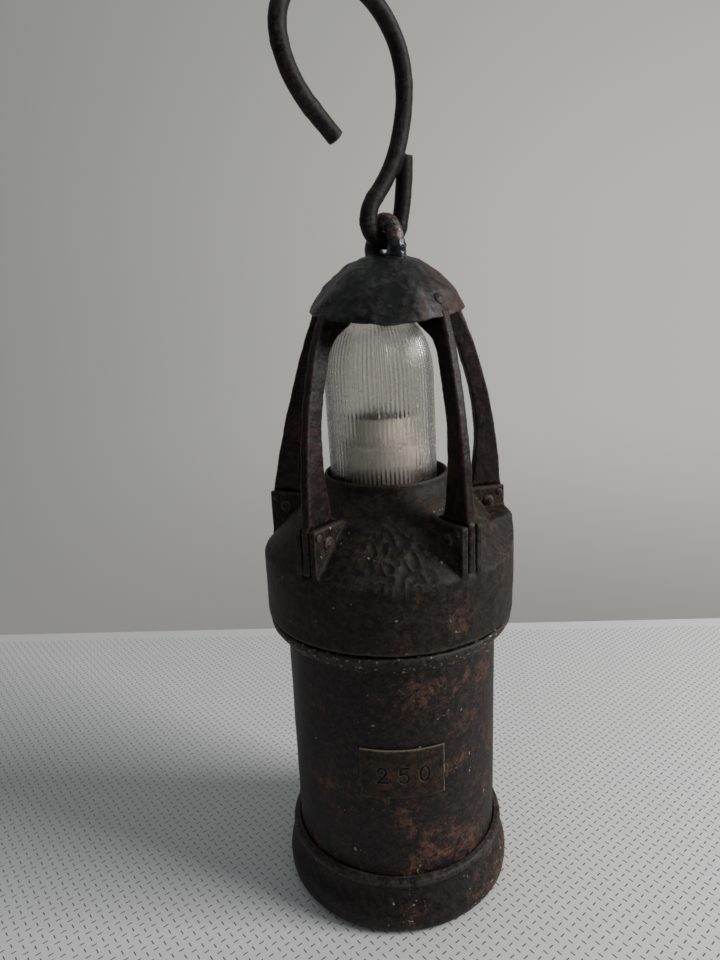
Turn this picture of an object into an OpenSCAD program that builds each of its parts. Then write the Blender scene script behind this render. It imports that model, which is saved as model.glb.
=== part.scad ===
// An electric pit hand lamp. The pot holds the battery, the head screws onto its neck, and five
// riveted pillars guard the ribbed glass bell under a domed hood with a staple and a wire hook.
// Z is up, the table is z = 0, and the front of the lamp faces -Y. All sizes are in millimetres.

/* [Pot] */
// Outer diameter of the pot's tube
pot_d = 102.4; // [99:0.2:103.4]
// Wall of the pot's tube
pot_wall = 2; // [1.5:0.1:3]
// Thickness of the pot's closed bottom
pot_floor = 2.5; // [2:0.1:4]
// Height of the pot's bottom above the table
pot_lift = 5; // [3:0.5:8]
// Height of the flange's top face above the table
pot_h = 146.5; // [140:0.5:170]
// Height of the screwed neck above the flange
neck_h = 10.5; // [9:0.5:14]

/* [Base skirt] */
// Spread of the skirt's foot beyond its waist
foot_spread = 4; // [3:0.1:5]
// Height of the skirt's foot below its flare
foot_h = 9; // [7:0.5:12]
// Rounding of the foot's lower edge
foot_round = 5; // [2:0.5:6]
// Thickness of the skirt at its waist
waist_wall = 2.6; // [2.2:0.1:3.6]
// Height of the waist above the table
waist_z = 22.5; // [20:0.5:24]
// Width of the skirt's rolled rim beyond the pot
rim_w = 4.1; // [3.6:0.1:5]
// Height of the skirt's top rim
skirt_h = 29.7; // [29:0.1:34]

/* [Flange] */
// Width of the flange beyond the pot
flange_w = 7.8; // [7:0.1:9]
// Height of the flange with its tapered underside
flange_h = 10.5; // [9:0.5:14]
// Width of the open joint line between flange and head
joint_gap = 1.2; // [0.8:0.1:1.6]

/* [Number plate] */
// Width of the plate, measured round the pot
plate_w = 39; // [30:1:46]
// Height of the plate
plate_h = 25; // [18:1:32]
// Thickness of the plate
plate_t = 1.1; // [0.8:0.1:2]
// Height of the plate's middle above the table
plate_z = 85; // [70:1:110]
// Turn of the plate round the pot, from the front
plate_turn = 3.7; // [-10:0.1:10]

/* [Head] */
// Overhang of the head's ring beyond the flange
head_over = 0.8; // [0.4:0.1:2]
// Height of the ring's straight side
band_h = 30; // [29:0.5:36]
// Slope of the shoulder's cone
cone_slope = 46; // [44:0.5:48]
// Hollow radius where the cone runs up into the collar
collar_fillet = 8; // [6:0.5:10]
// Straight lip of the collar above its hollow
collar_lip = 0.9; // [0.8:0.1:4]
// Wall of the collar
collar_wall = 2.1; // [1.6:0.1:2.6]
// Wall of the cast shoulder
cast_wall = 4; // [3.5:0.1:5]

/* [Ears and pillars] */
// Thickness of one ear
ear_t = 3.2; // [2.8:0.1:4]
// Height of the ears' flat tops above the ring
ear_h = 23.6; // [22:0.1:26]
// Thickness of a pillar's web between its ears
web_t = 4; // [3.4:0.1:4.6]
// Play of a pillar's web between its ears
slot_play = 0.9; // [0.3:0.1:1.2]
// Thickness of a pillar's bar above the ears
bar_t = 5.2; // [4.8:0.1:6]
// Depth of the bar at the top
bar_depth = 8.9; // [8:0.1:10]
// Extra depth of the bar at the foot
bar_flare = 7.4; // [5:0.1:8]
// Extra depth of the bar under the hood
bar_head = 3.6; // [2:0.1:4.4]
// Bow radius of the bar's outer edge
bow_r = 248; // [225:1:270]
// Height of the cage from the collar's lip to the hood's rim
cage_h = 73.5; // [71:0.1:76]
// Sideways lean of the cage at the hood's rim, 0 for an upright cage
cage_lean = 2.4; // [0:0.1:3]

/* [Rivets] */
// Shank diameter of the large ear rivets
big_rivet_d = 4; // [3:0.1:4.4]
// Shank diameter of the small ear rivets
small_rivet_d = 2.4; // [2:0.1:3]
// Distance of a large ear rivet from the ring's side
big_rivet_in = 9.3; // [8.5:0.1:10.2]
// Depth of a large ear rivet below the ears' tops
big_rivet_drop = 7.4; // [6.5:0.1:8.4]
// Distance of a small ear rivet from the ears' outer corner
small_rivet_in = 3.4; // [3:0.1:4]
// Shank diameter of the hood rivets
hood_rivet_d = 3.2; // [2.6:0.1:3.6]
// Angle of the hood rivets above the horizon
hood_rivet_tilt = 29; // [27:0.5:31]

/* [Hood] */
// Outer radius of the domed sheet
dome_r = 37.2; // [36.4:0.1:39]
// Outer diameter of the hood's rim
hood_d = 69.6; // [69:0.1:71]
// Thickness of the hood's sheet
hood_t = 2.2; // [1.6:0.1:2.4]
// Diameter of the crown plate under the hood
crown_d = 48; // [44:0.5:49]
// Thickness of the crown plate
crown_t = 3; // [2:0.1:4]
// Height of the crown plate above the hood's rim
crown_lift = 0.2; // [0.1:0.1:2]

/* [Staple and hook] */
// Bar diameter of the staple
staple_d = 8; // [7:0.1:9]
// Wire diameter of the hook
wire_d = 7.6; // [6.6:0.1:8.4]
// Turn of the hook's plane from the front view
staple_turn = 34; // [20:1:45]
// Free height between the hood and the hook's eye
eye_lift = 0.8; // [0.6:0.1:3]
// Radius of the bend from the eye into the shank
shank_bend_r = 14; // [12:0.5:20]
// Lean of the hook's shank from upright
shank_lean = 41.9; // [38:0.1:44]
// Radius of the hook's back
back_r = 65.5; // [60:0.5:70]
// Radius where the back runs into the bow
bow_side_r = 37.8; // [34:0.2:42]
// Radius of the hook's bow at the middle of its wire
hook_bow_r = 22.6; // [20:0.2:25]
// Radius of the hook's front
front_r = 44; // [40:0.5:50]
// Straight length of the hook's beak
beak_l = 14.9; // [10:0.1:20]
// Bow radius of the eye's tail
tail_r = 105; // [60:1:120]
// Turn of the tail along its length
tail_turn = 16; // [12:0.5:20]

/* [Glass] */
// Outer diameter of the glass bell over its ribs
glass_d = 50.4; // [48:0.2:51]
// Wall of the bell
glass_wall = 3; // [2.4:0.1:4]
// Number of ribs
rib_n = 76; // [60:1:84]
// Depth of a rib
rib_h = 0.55; // [0.3:0.05:0.7]
// Gap between the glass and the collar
collar_gap = 2.2; // [2:0.1:3]
// Height of the bell's shoulder
glass_dome_h = 33; // [30:0.5:36]
// Diameter of the bell's flat top
glass_top_d = 26; // [22:0.5:28]
// Depth of the bell's seat below the collar's lip
seat_drop = 13.4; // [12.4:0.2:15]
// Width of the bell's foot flange beyond its ribs
glass_lip = 5.8; // [5.4:0.1:6.2]
// Thickness of the foot flange
glass_flange_t = 4; // [3:0.1:5]

/* [Light] */
// Diameter of the white drum
drum_d = 40; // [36:0.5:41]
// Height of the drum's top above the contact disc
drum_h = 62.5; // [58:0.5:66]
// Diameter of the white bulb holder
holder_d = 25.2; // [24:0.2:28]
// Height of the holder above the drum
holder_h = 12; // [10:0.5:14]
// Diameter of the bulb's envelope
bulb_d = 15; // [13:0.5:17]

/* [Head inside] */
// Thickness of the head gasket
gasket_t = 2.5; // [2:0.1:4]
// Thickness of the contact disc
disc_t = 6; // [5:0.5:8]
// Thickness of each glass gasket
seal_t = 2; // [1.5:0.1:3]
// Height of the clamp ring
clamp_h = 7; // [6:0.5:8]
// Thickness of the cushion on top of the bell
cushion_t = 3.2; // [2:0.1:4]

/* [Locking and contacts] */
// Place of the lock round the head, from the front
lock_turn = 88; // [80:1:94]
// Height of the lock's housing above the ring
lock_boss_h = 13.3; // [10:0.1:14]
// Slope at which the housing rises from the shoulder
lock_boss_rise = 14; // [12:0.5:20]
// Diameter of the lock bolt
bolt_d = 4.2; // [3.6:0.1:4.6]
// Length of the lock bolt
bolt_l = 12; // [10:0.5:14]
// Depth to which the bolt enters the flange
bolt_bite = 2.3; // [1.5:0.1:2.6]
// Lift of the bolt when a magnet draws it
bolt_travel = 3.5; // [3:0.1:4]
// Turn of the head between on and off
turn_range = 45; // [30:1:60]
// Shank diameter of a contact pin
pin_d = 6; // [5:0.1:6.6]
// Length of a contact pin below the contact disc
pin_reach = 12.5; // [11:0.5:14]
// Travel of a contact pin
pin_travel = 2.5; // [2:0.1:3]
// Offset of the side contact from the axis
side_contact = 27.5; // [27:0.5:32]

/* [Battery] */
// Diameter of the battery case
battery_d = 92; // [84:0.5:92.5]
// Height of the terminals above the battery's lid
terminal_h = 14.5; // [13:0.5:24]
// Thickness of the battery's lid
lid_t = 7; // [5:0.5:9]
// Thickness of the rubber base pad
pad_t = 3; // [2:0.5:5]

/* [Hidden] */
$fn = 72;

// Fits shared by several pieces
press_gap = 0.05;
run_gap = 0.06;
seat_gap = 0.3;

// Heights, built up from the table
neck_top_z = pot_h + neck_h;
head_z = pot_h + joint_gap;
disc_z = neck_top_z + gasket_t;
ledge_z = disc_z + disc_t;
ring_top_z = head_z + band_h;
ear_top_z = ring_top_z + ear_h;

// Radii of the pot and the head
pot_r = pot_d / 2;
pot_bore_r = pot_r - pot_wall;
flange_r = pot_r + flange_w;
head_r = flange_r + head_over;
head_bore_r = pot_r + run_gap;
glass_r = glass_d / 2;
collar_bore_r = glass_r + collar_gap;
collar_r = collar_bore_r + collar_wall;

// Shoulder cone: a straight flank that ends in a hollow fillet below the collar
edge_r = 3;
flank_r0 = head_r - edge_r * (1 - sin(cone_slope));
flank_z0 = ring_top_z + edge_r * cos(cone_slope);
fillet_r1 = collar_r + collar_fillet * (1 - sin(cone_slope));
fillet_z1 = flank_z0 + (flank_r0 - fillet_r1) * tan(cone_slope);
fillet_z0 = fillet_z1 + collar_fillet * cos(cone_slope);
collar_top_z = fillet_z0 + collar_lip;
hood_z = collar_top_z + cage_h;
hood_at = [cage_lean, 0, 0];
lip_round = 0.6;
function flank_z(r) = flank_z0 + (flank_r0 - r) * tan(cone_slope);
function flank_r(z) = flank_r0 - (z - flank_z0) / tan(cone_slope);

// Glass bell: heights of its seat, shoulder and flat top
seat_z = collar_top_z - seat_drop;
flange_z = seat_z - seal_t - glass_flange_t;
glass_top_r = glass_top_d / 2;
glass_flange_r = glass_r + glass_lip;
rib_root_r = glass_r - rib_h;
dome_top_k = sqrt(1 - pow(glass_top_r / rib_root_r, 2));
crown_z = hood_z + crown_lift;
glass_top_z = crown_z - cushion_t;
glass_spring_z = glass_top_z - glass_dome_h * dome_top_k;

// Hood: a spherical cap
hood_r = hood_d / 2;
dome_z = hood_z - sqrt(pow(dome_r, 2) - pow(hood_r, 2));
hood_top_z = dome_z + dome_r;
dome_in_r = dome_r - hood_t;
function hood_in_r(z) = sqrt(pow(dome_in_r, 2) - pow(z - dome_z, 2));
function hood_in_z(r) = dome_z + sqrt(pow(dome_in_r, 2) - pow(r, 2));

// Staple and hook: the arch is concentric with the hinge, and the eye with the arch's bar
staple_r = staple_d / 2;
clench_r = staple_r + 1.2;
clench_t = 1.2;
wire_r = wire_d / 2;
link_r = staple_r + wire_r + seat_gap;
hinge_z = hood_top_z + eye_lift + wire_r;
arch_z = hinge_z + link_r;

// Ears and pillars
pillar_n = 5;
pillar_step = 360 / pillar_n;
slot_t = web_t + slot_play;
big_rivet_r = big_rivet_d / 2;
small_rivet_r = small_rivet_d / 2;
big_rivet_at = [head_r - big_rivet_in, ear_top_z - big_rivet_drop];
small_rivet_at = [head_r - small_rivet_in, ear_top_z - small_rivet_in];
hood_rivet_r = hood_rivet_d / 2;
hood_rivet_l = 7;
crown_r = crown_d / 2;
crown_seat = 1.6;
pillar_top_z = crown_z + crown_t + 4.6;
bow_z = ring_top_z + 2;
function bow_out(z) = head_r + 0.2 - (bow_r - sqrt(pow(bow_r, 2) - pow(max(z - bow_z, 0), 2)));
function foot_k(z) = pow(max(0, 1 - (z - ear_top_z) / (cage_h - 20)), 2);
function head_k(z) = pow(max(0, 1 - (hood_z - z) / 14), 2);
function bar_deep(z) = bar_depth + bar_flare * foot_k(z) + bar_head * head_k(z);
function lean_at(z) = cage_lean * min(1, max(0, z - ear_top_z) / (hood_z - ear_top_z));

// Lock bolt and contacts
bolt_r = bolt_d / 2;
bolt_at = head_bore_r + 0.45 * (head_r - head_bore_r);
bolt_spring_h = bolt_travel + 3;
bolt_z = pot_h - bolt_bite;
groove_play = 0.7;
groove_d = bolt_bite + groove_play;
groove_w = bolt_d + groove_play;
pin_r = pin_d / 2;
pin_collar_r = pin_r + 1.1;
bush_bore_r = pin_collar_r + 0.1;
bush_r = bush_bore_r + 1.4;
bush_floor = 2;
pin_collar_t = 2;
spring_room = pin_travel + 6.5;
battery_z = pot_lift + pot_floor + pad_t;
terminal_z = disc_z - pin_reach;
lid_top_z = terminal_z - terminal_h;
lid_z = lid_top_z - lid_t;
case_h = lid_z - battery_z;
contact_at = [[0, 0], [0, -side_contact]];
ledge_r = pot_bore_r - 4;
screw_turns = [30, 150, 270];
screw_at = (ledge_r + head_bore_r) / 2;
screw_r = 1.3;
screw_l = disc_t + 5;

// Battery: studs, contact faces, nuts and vents
stud_r = 3;
pad_face_r = 5.5;
pad_face_t = 3;
nut_r = 5.2;
nut_h = 3.5;
vent_r = 5;
vent_at = 24;
vent_depth = 3;

// Bulb: its cap in the socket, the socket under the holder
cap_r = 5.2;
cap_h = 13;
socket_r = 7;
socket_lip_r = 9;
socket_drop = 10;
socket_floor = 1.5;
drum_wall = 1.5;
drum_top_z = ledge_z + drum_h;
cap_z = drum_top_z - socket_drop + socket_floor;
bulb_z = cap_z + cap_h;
socket_h = socket_floor + cap_h - 0.6;

// Points on an arc from angle a0 to a1 round the centre c
function arc(c, r, a0, a1, n = 8) = [for (i = [0:n]) let(a = a0 + (a1 - a0) * i / n)
    [c[0] + r * cos(a), c[1] + r * sin(a)]];

// A rounded rectangle of points, d deep along X and w wide along Y, turned anticlockwise
function pad_points(d, w, c) = [for (q = [0:3], i = [0:2]) let(a = 90 * q + 45 * i,
    sx = q == 0 || q == 3 ? 1 : -1, sy = q < 2 ? 1 : -1)
    [sx * (d / 2 - c) + c * cos(a), sy * (w / 2 - c) + c * sin(a)]];

// A closed skin over rings of points, listed upwards, each turned anticlockwise
module skin(rings) {
    n = len(rings[0]);
    m = len(rings);
    sides = [for (i = [0:m - 2], j = [0:n - 1]) let(k = (j + 1) % n)
        each [[i * n + j, (i + 1) * n + j, (i + 1) * n + k], [i * n + j, (i + 1) * n + k, i * n + k]]];
    caps = [[for (j = [0:n - 1]) j], [for (j = [n - 1:-1:0]) (m - 1) * n + j]];
    polyhedron(points = [for (ring = rings) each ring], faces = concat(sides, caps));
}

// A piece moved to pillar k, counted anticlockwise from the front left; number 3 is at the back
module at_pillar(k) {
    rotate([0, 0, -90 - pillar_step / 2 + pillar_step * k]) children();
}

module at_pillars() {
    for (k = [0:pillar_n - 1]) at_pillar(k) children();
}

module at_lock() {
    rotate([0, 0, lock_turn - 90]) children();
}

// A rivet along Y, its shank centred on the origin, with a low domed head at each end
module rivet(shank_r, grip, head_r, head_h) {
    rotate([90, 0, 0]) {
        cylinder(h = grip, r = shank_r, center = true, $fn = 32);
        for (side = [0, 1]) mirror([0, 0, side]) translate([0, 0, grip / 2]) rivet_head(head_r, head_h);
    }
}

module rivet_head(r, h) {
    dome = (r * r + h * h) / (2 * h);
    rotate_extrude($fn = 32)
        polygon(concat([[0, 0]], arc([0, h - dome], dome, asin((dome - h) / dome), 90, 5)));
}

// A coil spring standing on the origin
module coil(mid_r, wire, h, turns) {
    per_turn = 12;
    rings = [for (i = [0:turns * per_turn]) let(a = 360 * i / per_turn,
        z = wire / 2 + (h - wire) * i / (turns * per_turn))
        [for (j = [0:5]) let(b = -60 * j, r = mid_r + wire / 2 * cos(b))
            [r * cos(a), r * sin(a), z + wire / 2 * sin(b)]]];
    skin(rings);
}

module pot_shell() {
    color("#3a302c") rotate_extrude() polygon(concat(
        [[0, pot_lift]],
        arc([pot_r - 4, pot_lift + 4], 4, -90, 0, 5),
        [[pot_r, neck_top_z], [pot_bore_r, neck_top_z], [pot_bore_r, pot_lift + pot_floor + 2]],
        arc([pot_bore_r - 2, pot_lift + pot_floor + 2], 2, 0, -90, 4),
        [[0, pot_lift + pot_floor]]));
}

// The foot ring flares out from a narrow waist below its rolled rim; the pot stands on its inner ledge
module base_skirt() {
    waist_r = pot_r + waist_wall;
    foot_r = waist_r + foot_spread;
    rim_r = pot_r + rim_w;
    bore_r = pot_r + press_gap;
    flare = [for (i = [0:10]) let(k = i / 10)
        [waist_r + (foot_r - waist_r) * (1 + cos(180 * k)) / 2, foot_h + (waist_z - foot_h) * k]];
    rim_z = (skirt_h + waist_z) / 2 + 0.6;
    color("#41342d") rotate_extrude() polygon(concat(
        [[pot_r - 6, 0]],
        arc([foot_r - foot_round, foot_round], foot_round, -90, 0, 6),
        flare,
        arc([rim_r - 2.6, rim_z], 2.6, -20, 70, 6),
        [[pot_r + 1.3, skirt_h], [bore_r, skirt_h]],
        arc([pot_r - 4, pot_lift + 4], 4 + press_gap, 0, -90, 6),
        [[pot_r - 6, pot_lift - press_gap]]));
}

// The flange is brazed round the pot; an arc groove in its top face takes the lock bolt
module pot_flange() {
    bore_r = pot_r + press_gap;
    lead = 5;
    color("#3b312c") difference() {
        rotate_extrude() polygon(concat(
            [[bore_r, pot_h - flange_h], [pot_r + 1.2, pot_h - flange_h]],
            [for (i = [1:5]) let(k = i / 5)
                [pot_r + 1.2 + (flange_r - pot_r - 1.6) * pow(k, 0.8), pot_h - flange_h + (flange_h - 3.4) * k]],
            [[flange_r, pot_h - 2], [flange_r, pot_h - 0.6], [flange_r - 0.6, pot_h], [bore_r, pot_h]]));
        rotate([0, 0, lock_turn - 90 - lead]) rotate_extrude(angle = turn_range + 2 * lead)
            translate([bolt_at - groove_w / 2, pot_h - groove_d]) square([groove_w, groove_d + 1]);
    }
}

// A curved plate soldered to the front of the pot
module number_plate() {
    seat_r = pot_r + press_gap;
    sweep = plate_w / seat_r * 180 / PI;
    color("#574a3d") rotate([0, 0, -90 + plate_turn - sweep / 2])
        rotate_extrude(angle = sweep)
            translate([seat_r, plate_z - plate_h / 2]) square([plate_t, plate_h]);
}

module base_pad() {
    color("#1c1c1c") translate([0, 0, pot_lift + pot_floor]) cylinder(h = pad_t, r = battery_d / 2);
}

// A moulded jar with a stepped mouth that the lid drops into
module battery_case() {
    case_r = battery_d / 2;
    color("#26221f") translate([0, 0, battery_z]) difference() {
        rotate_extrude() polygon(concat([[0, 0]], arc([case_r - 2, 2], 2, -90, 0, 4),
            [[case_r, case_h + 3], [0, case_h + 3]]));
        translate([0, 0, case_h]) cylinder(h = 4, r = case_r - 2.5);
    }
}

module battery_lid() {
    case_r = battery_d / 2;
    color("#2f2a26") difference() {
        translate([0, 0, lid_z]) rotate_extrude() polygon([[0, 0], [case_r - 2.8, 0],
            [case_r - 2.8, 3], [case_r - 0.6, 3], [case_r - 0.6, lid_t - 1], [case_r - 1.6, lid_t], [0, lid_t]]);
        for (p = contact_at) translate([p[0], p[1], lid_z - 1])
            cylinder(h = lid_t + 2, r = stud_r + press_gap);
        for (side = [-1, 1]) translate([side * vent_at, 0, lid_top_z - vent_depth])
            cylinder(h = vent_depth + 1, r = vent_r + press_gap);
    }
}

// A threaded stud with a flat contact face on top
module terminal(p) {
    translate([p[0], p[1], 0]) {
        translate([0, 0, lid_z]) cylinder(h = terminal_z - pad_face_t - lid_z, r = stud_r);
        translate([0, 0, terminal_z - pad_face_t]) cylinder(h = pad_face_t, r = pad_face_r);
    }
}

module center_terminal() {
    color("#b08d57") terminal(contact_at[0]);
}

module side_terminal() {
    color("#b08d57") terminal(contact_at[1]);
}

module terminal_nuts() {
    color("#9a8050") for (p = contact_at) translate([p[0], p[1], lid_top_z]) difference() {
        cylinder(h = nut_h, r = nut_r, $fn = 6);
        translate([0, 0, -1]) cylinder(h = nut_h + 2, r = stud_r + press_gap);
    }
}

module vent_plugs() {
    color("#4a4540") for (side = [-1, 1]) translate([side * vent_at, 0, lid_top_z - vent_depth]) {
        cylinder(h = vent_depth, r = vent_r);
        translate([0, 0, vent_depth]) cylinder(h = 4, r = vent_r + 2, $fn = 8);
    }
}

// The rubber ring between the pot's neck and the contact disc
module head_gasket() {
    color("#1d1b1a") translate([0, 0, neck_top_z]) difference() {
        cylinder(h = gasket_t, r = pot_r - seat_gap);
        translate([0, 0, -1]) cylinder(h = gasket_t + 2, r = pot_bore_r - 2);
    }
}

// Half section of the casting: ring, shoulder cone and collar outside, seats and ledges inside
function cap_outline() = let(
    boss_r = glass_flange_r + 0.6,
    boss_wall = 3.4,
    boss_z = flange_z - seal_t - clamp_h - 1,
    skin_h = cast_wall / cos(cone_slope))
    concat(
        [[head_bore_r, head_z], [head_r - 0.8, head_z], [head_r, head_z + 0.8], [head_r, ring_top_z]],
        arc([head_r - edge_r, ring_top_z], edge_r, 0, 90 - cone_slope, 4),
        arc([collar_r + collar_fillet, fillet_z0], collar_fillet, 270 - cone_slope, 180, 8),
        arc([collar_r - lip_round, collar_top_z - lip_round], lip_round, 0, 90, 3),
        arc([collar_bore_r + lip_round, collar_top_z - lip_round], lip_round, 90, 180, 3),
        [[collar_bore_r, seat_z], [boss_r, seat_z], [boss_r, boss_z], [boss_r + boss_wall, boss_z],
         [boss_r + boss_wall, flank_z(boss_r + boss_wall) - skin_h],
         [ledge_r, flank_z(ledge_r) - skin_h], [ledge_r, ledge_z], [head_bore_r, ledge_z]]);

module ear_pair() {
    for (side = [-1, 1]) translate([0, side * (slot_t + ear_t) / 2 + ear_t / 2, 0]) rotate([90, 0, 0])
        linear_extrude(ear_t) polygon([[head_r + 2, ring_top_z - 3], [head_r + 2, ear_top_z],
            [flank_r(ear_top_z) - 2, ear_top_z], [flank_r(ear_top_z) - 3, ear_top_z - 3]]);
}

// Housing of the lock: it rises from the shoulder to a flat top beside an ear
module lock_boss() {
    turns = [lock_turn - 19, pillar_step * 1.5 - 4];
    in_r = flank_r(ring_top_z + lock_boss_h) - 1.5;
    intersection() {
        difference() {
            translate([0, 0, ring_top_z - 3]) linear_extrude(lock_boss_h + 3) polygon(concat(
                arc([0, 0], in_r, turns[0] - 90, turns[1] - 90, 8),
                arc([0, 0], head_r + 6, turns[1] - 90, turns[0] - 90, 8)));
            rotate([0, 0, turns[0] - 90]) translate([flank_r0, 0, flank_z0]) rotate([0, cone_slope, 0])
                rotate([lock_boss_rise, 0, 0]) translate([-40, -60, 0]) cube([80, 120, 40]);
        }
        cylinder(h = ear_top_z, r = head_r);
    }
}

module shoulder_cap() {
    color("#352c28") difference() {
        union() {
            rotate_extrude() polygon(cap_outline());
            lock_boss();
            intersection() {
                at_pillars() ear_pair();
                cylinder(h = ear_top_z, r = head_r);
            }
        }
        at_pillars() {
            translate([big_rivet_at[0], 0, big_rivet_at[1]]) rotate([90, 0, 0])
                cylinder(h = 30, r = big_rivet_r + press_gap, center = true, $fn = 32);
            translate([small_rivet_at[0], 0, small_rivet_at[1]]) rotate([90, 0, 0])
                cylinder(h = 30, r = small_rivet_r + press_gap, center = true, $fn = 32);
        }
        at_lock() translate([bolt_at, 0, head_z - 1])
            cylinder(h = bolt_z + bolt_l + bolt_spring_h - head_z + 1, r = bolt_r + run_gap);
        for (a = screw_turns) rotate([0, 0, a]) translate([screw_at, 0, ledge_z - 1])
            cylinder(h = screw_l - disc_t + 2, r = screw_r + press_gap, $fn = 24);
    }
}

// A bowed bar on edge: its web sits between the ears, its top under the hood's rim. Above the ears
// each station [height, outer radius, inner radius, thickness] shifts with the lean of the cage
module pillar(k) {
    turn = -90 - pillar_step / 2 + pillar_step * k;
    web_z0 = ring_top_z + 2.8;
    web = [for (z = [web_z0, (web_z0 + ear_top_z) / 2, ear_top_z - 0.2])
        [z, head_r, flank_r(z) + 0.5, web_t]];
    foot_z = ear_top_z + 1.2;
    bar = [for (i = [0:15]) let(z = foot_z + (hood_z - seat_gap - foot_z) * i / 15)
        [z, bow_out(z), bow_out(z) - bar_deep(z), bar_t]];
    tuck = [for (z = [hood_z - seat_gap + 0.02, crown_z - 0.02])
        [z, hood_in_r(z) - seat_gap, crown_r - crown_seat, bar_t]];
    top = [for (i = [0:3]) let(z = crown_z + (pillar_top_z - crown_z) * i / 3)
        [z, hood_in_r(z) - seat_gap, crown_r + 0.2, bar_t]];
    stations = concat(web, bar, tuck, top);
    color("#4a3630") rotate([0, 0, turn]) difference() {
        skin([for (s = stations)
            let(d = s[1] - s[2], mid = (s[1] + s[2]) / 2, c = min(1.1, d / 3, s[3] / 3), lean = lean_at(s[0]))
            [for (p = pad_points(d, s[3], c))
                [mid + p[0] + lean * cos(turn), p[1] - lean * sin(turn), s[0]]]]);
        translate([big_rivet_at[0], 0, big_rivet_at[1]]) rotate([90, 0, 0])
            cylinder(h = 12, r = big_rivet_r + press_gap, center = true, $fn = 32);
        translate([small_rivet_at[0], 0, small_rivet_at[1]]) rotate([90, 0, 0])
            cylinder(h = 12, r = small_rivet_r + press_gap, center = true, $fn = 32);
        rotate([0, 0, -turn]) translate(hood_at) rotate([0, 0, turn]) hood_rivet_place()
            cylinder(h = hood_rivet_l + 1, r = hood_rivet_r + press_gap, $fn = 24);
    }
}

// Axis of a hood rivet: square to the dome, pointing inwards from its outer skin
module hood_rivet_place() {
    translate([0, 0, dome_z]) rotate([0, 90 - hood_rivet_tilt, 0]) translate([0, 0, dome_r])
        mirror([0, 0, 1]) children();
}

module pillar_1() pillar(0);
module pillar_2() pillar(1);
module pillar_3() pillar(2);
module pillar_4() pillar(3);
module pillar_5() pillar(4);

module large_ear_rivets() {
    color("#5a4436") at_pillars() translate([big_rivet_at[0], 0, big_rivet_at[1]])
        rivet(big_rivet_r, slot_t + 2 * ear_t, big_rivet_r * 1.6, 1.3);
}

module small_ear_rivets() {
    color("#5a4436") at_pillars() translate([small_rivet_at[0], 0, small_rivet_at[1]])
        rivet(small_rivet_r, slot_t + 2 * ear_t, small_rivet_r * 1.5, 0.7);
}

// Spherical cap of sheet, holed for the staple's legs and the pillar rivets
module hood() {
    color("#3d403b") translate(hood_at) difference() {
        translate([0, 0, dome_z]) rotate_extrude($fn = 96) intersection() {
            difference() {
                circle(r = dome_r, $fn = 96);
                circle(r = dome_in_r, $fn = 96);
            }
            translate([0, hood_z - dome_z]) square([dome_r + 1, dome_r + 1]);
        }
        staple_legs_at(hood_top_z - 15) cylinder(h = 30, r = staple_r + press_gap);
        at_pillars() hood_rivet_place() translate([0, 0, -1])
            cylinder(h = hood_t + 3, r = hood_rivet_r + press_gap, $fn = 24);
    }
}

module hood_rivets() {
    color("#4d443c") translate(hood_at) at_pillars() hood_rivet_place() {
        cylinder(h = hood_rivet_l, r = hood_rivet_r, $fn = 24);
        mirror([0, 0, 1]) rivet_head(hood_rivet_r * 1.9, 0.8);
    }
}

// Disc that the pillars' tops carry; it backs the glass cushion
module crown_plate() {
    color("#2e2926") translate([cage_lean, 0, crown_z]) cylinder(h = crown_t, r = crown_r);
}

module in_hook_plane() {
    translate(hood_at) rotate([90, 0, staple_turn]) children();
}

module staple_legs_at(z) {
    rotate([0, 0, staple_turn]) for (side = [-1, 1]) translate([0, side * link_r, z]) children();
}

// Round bar bent to an arch, its legs drawn through the hood and clenched flat below it
module staple() {
    foot_z = hood_in_z(link_r + clench_r) - 0.1 - clench_t;
    color("#46362e") translate(hood_at) {
        rotate([0, 0, staple_turn]) translate([0, 0, hinge_z]) rotate([90, 0, 90])
            rotate_extrude(angle = 180) translate([link_r, 0]) circle(r = staple_r, $fn = 40);
        staple_legs_at(foot_z) {
            cylinder(h = hinge_z - foot_z, r = staple_r, $fn = 40);
            translate([0, 0, hinge_z - foot_z]) sphere(r = staple_r + 0.05, $fn = 40);
            cylinder(h = clench_t, r = clench_r, $fn = 40);
        }
    }
}

module top_cushion() {
    color("#6b6257") translate([0, 0, glass_top_z]) cylinder(h = cushion_t, r = glass_top_r + 1);
}

// Outer or inner half section of the bell above its spring line, shrunk by a wall
function dome_points(wall) = [for (i = [0:8]) let(a = acos(glass_top_r / rib_root_r) * i / 8)
    [(rib_root_r - wall) * cos(a), (glass_dome_h - wall) * sin(a)]];

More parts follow.
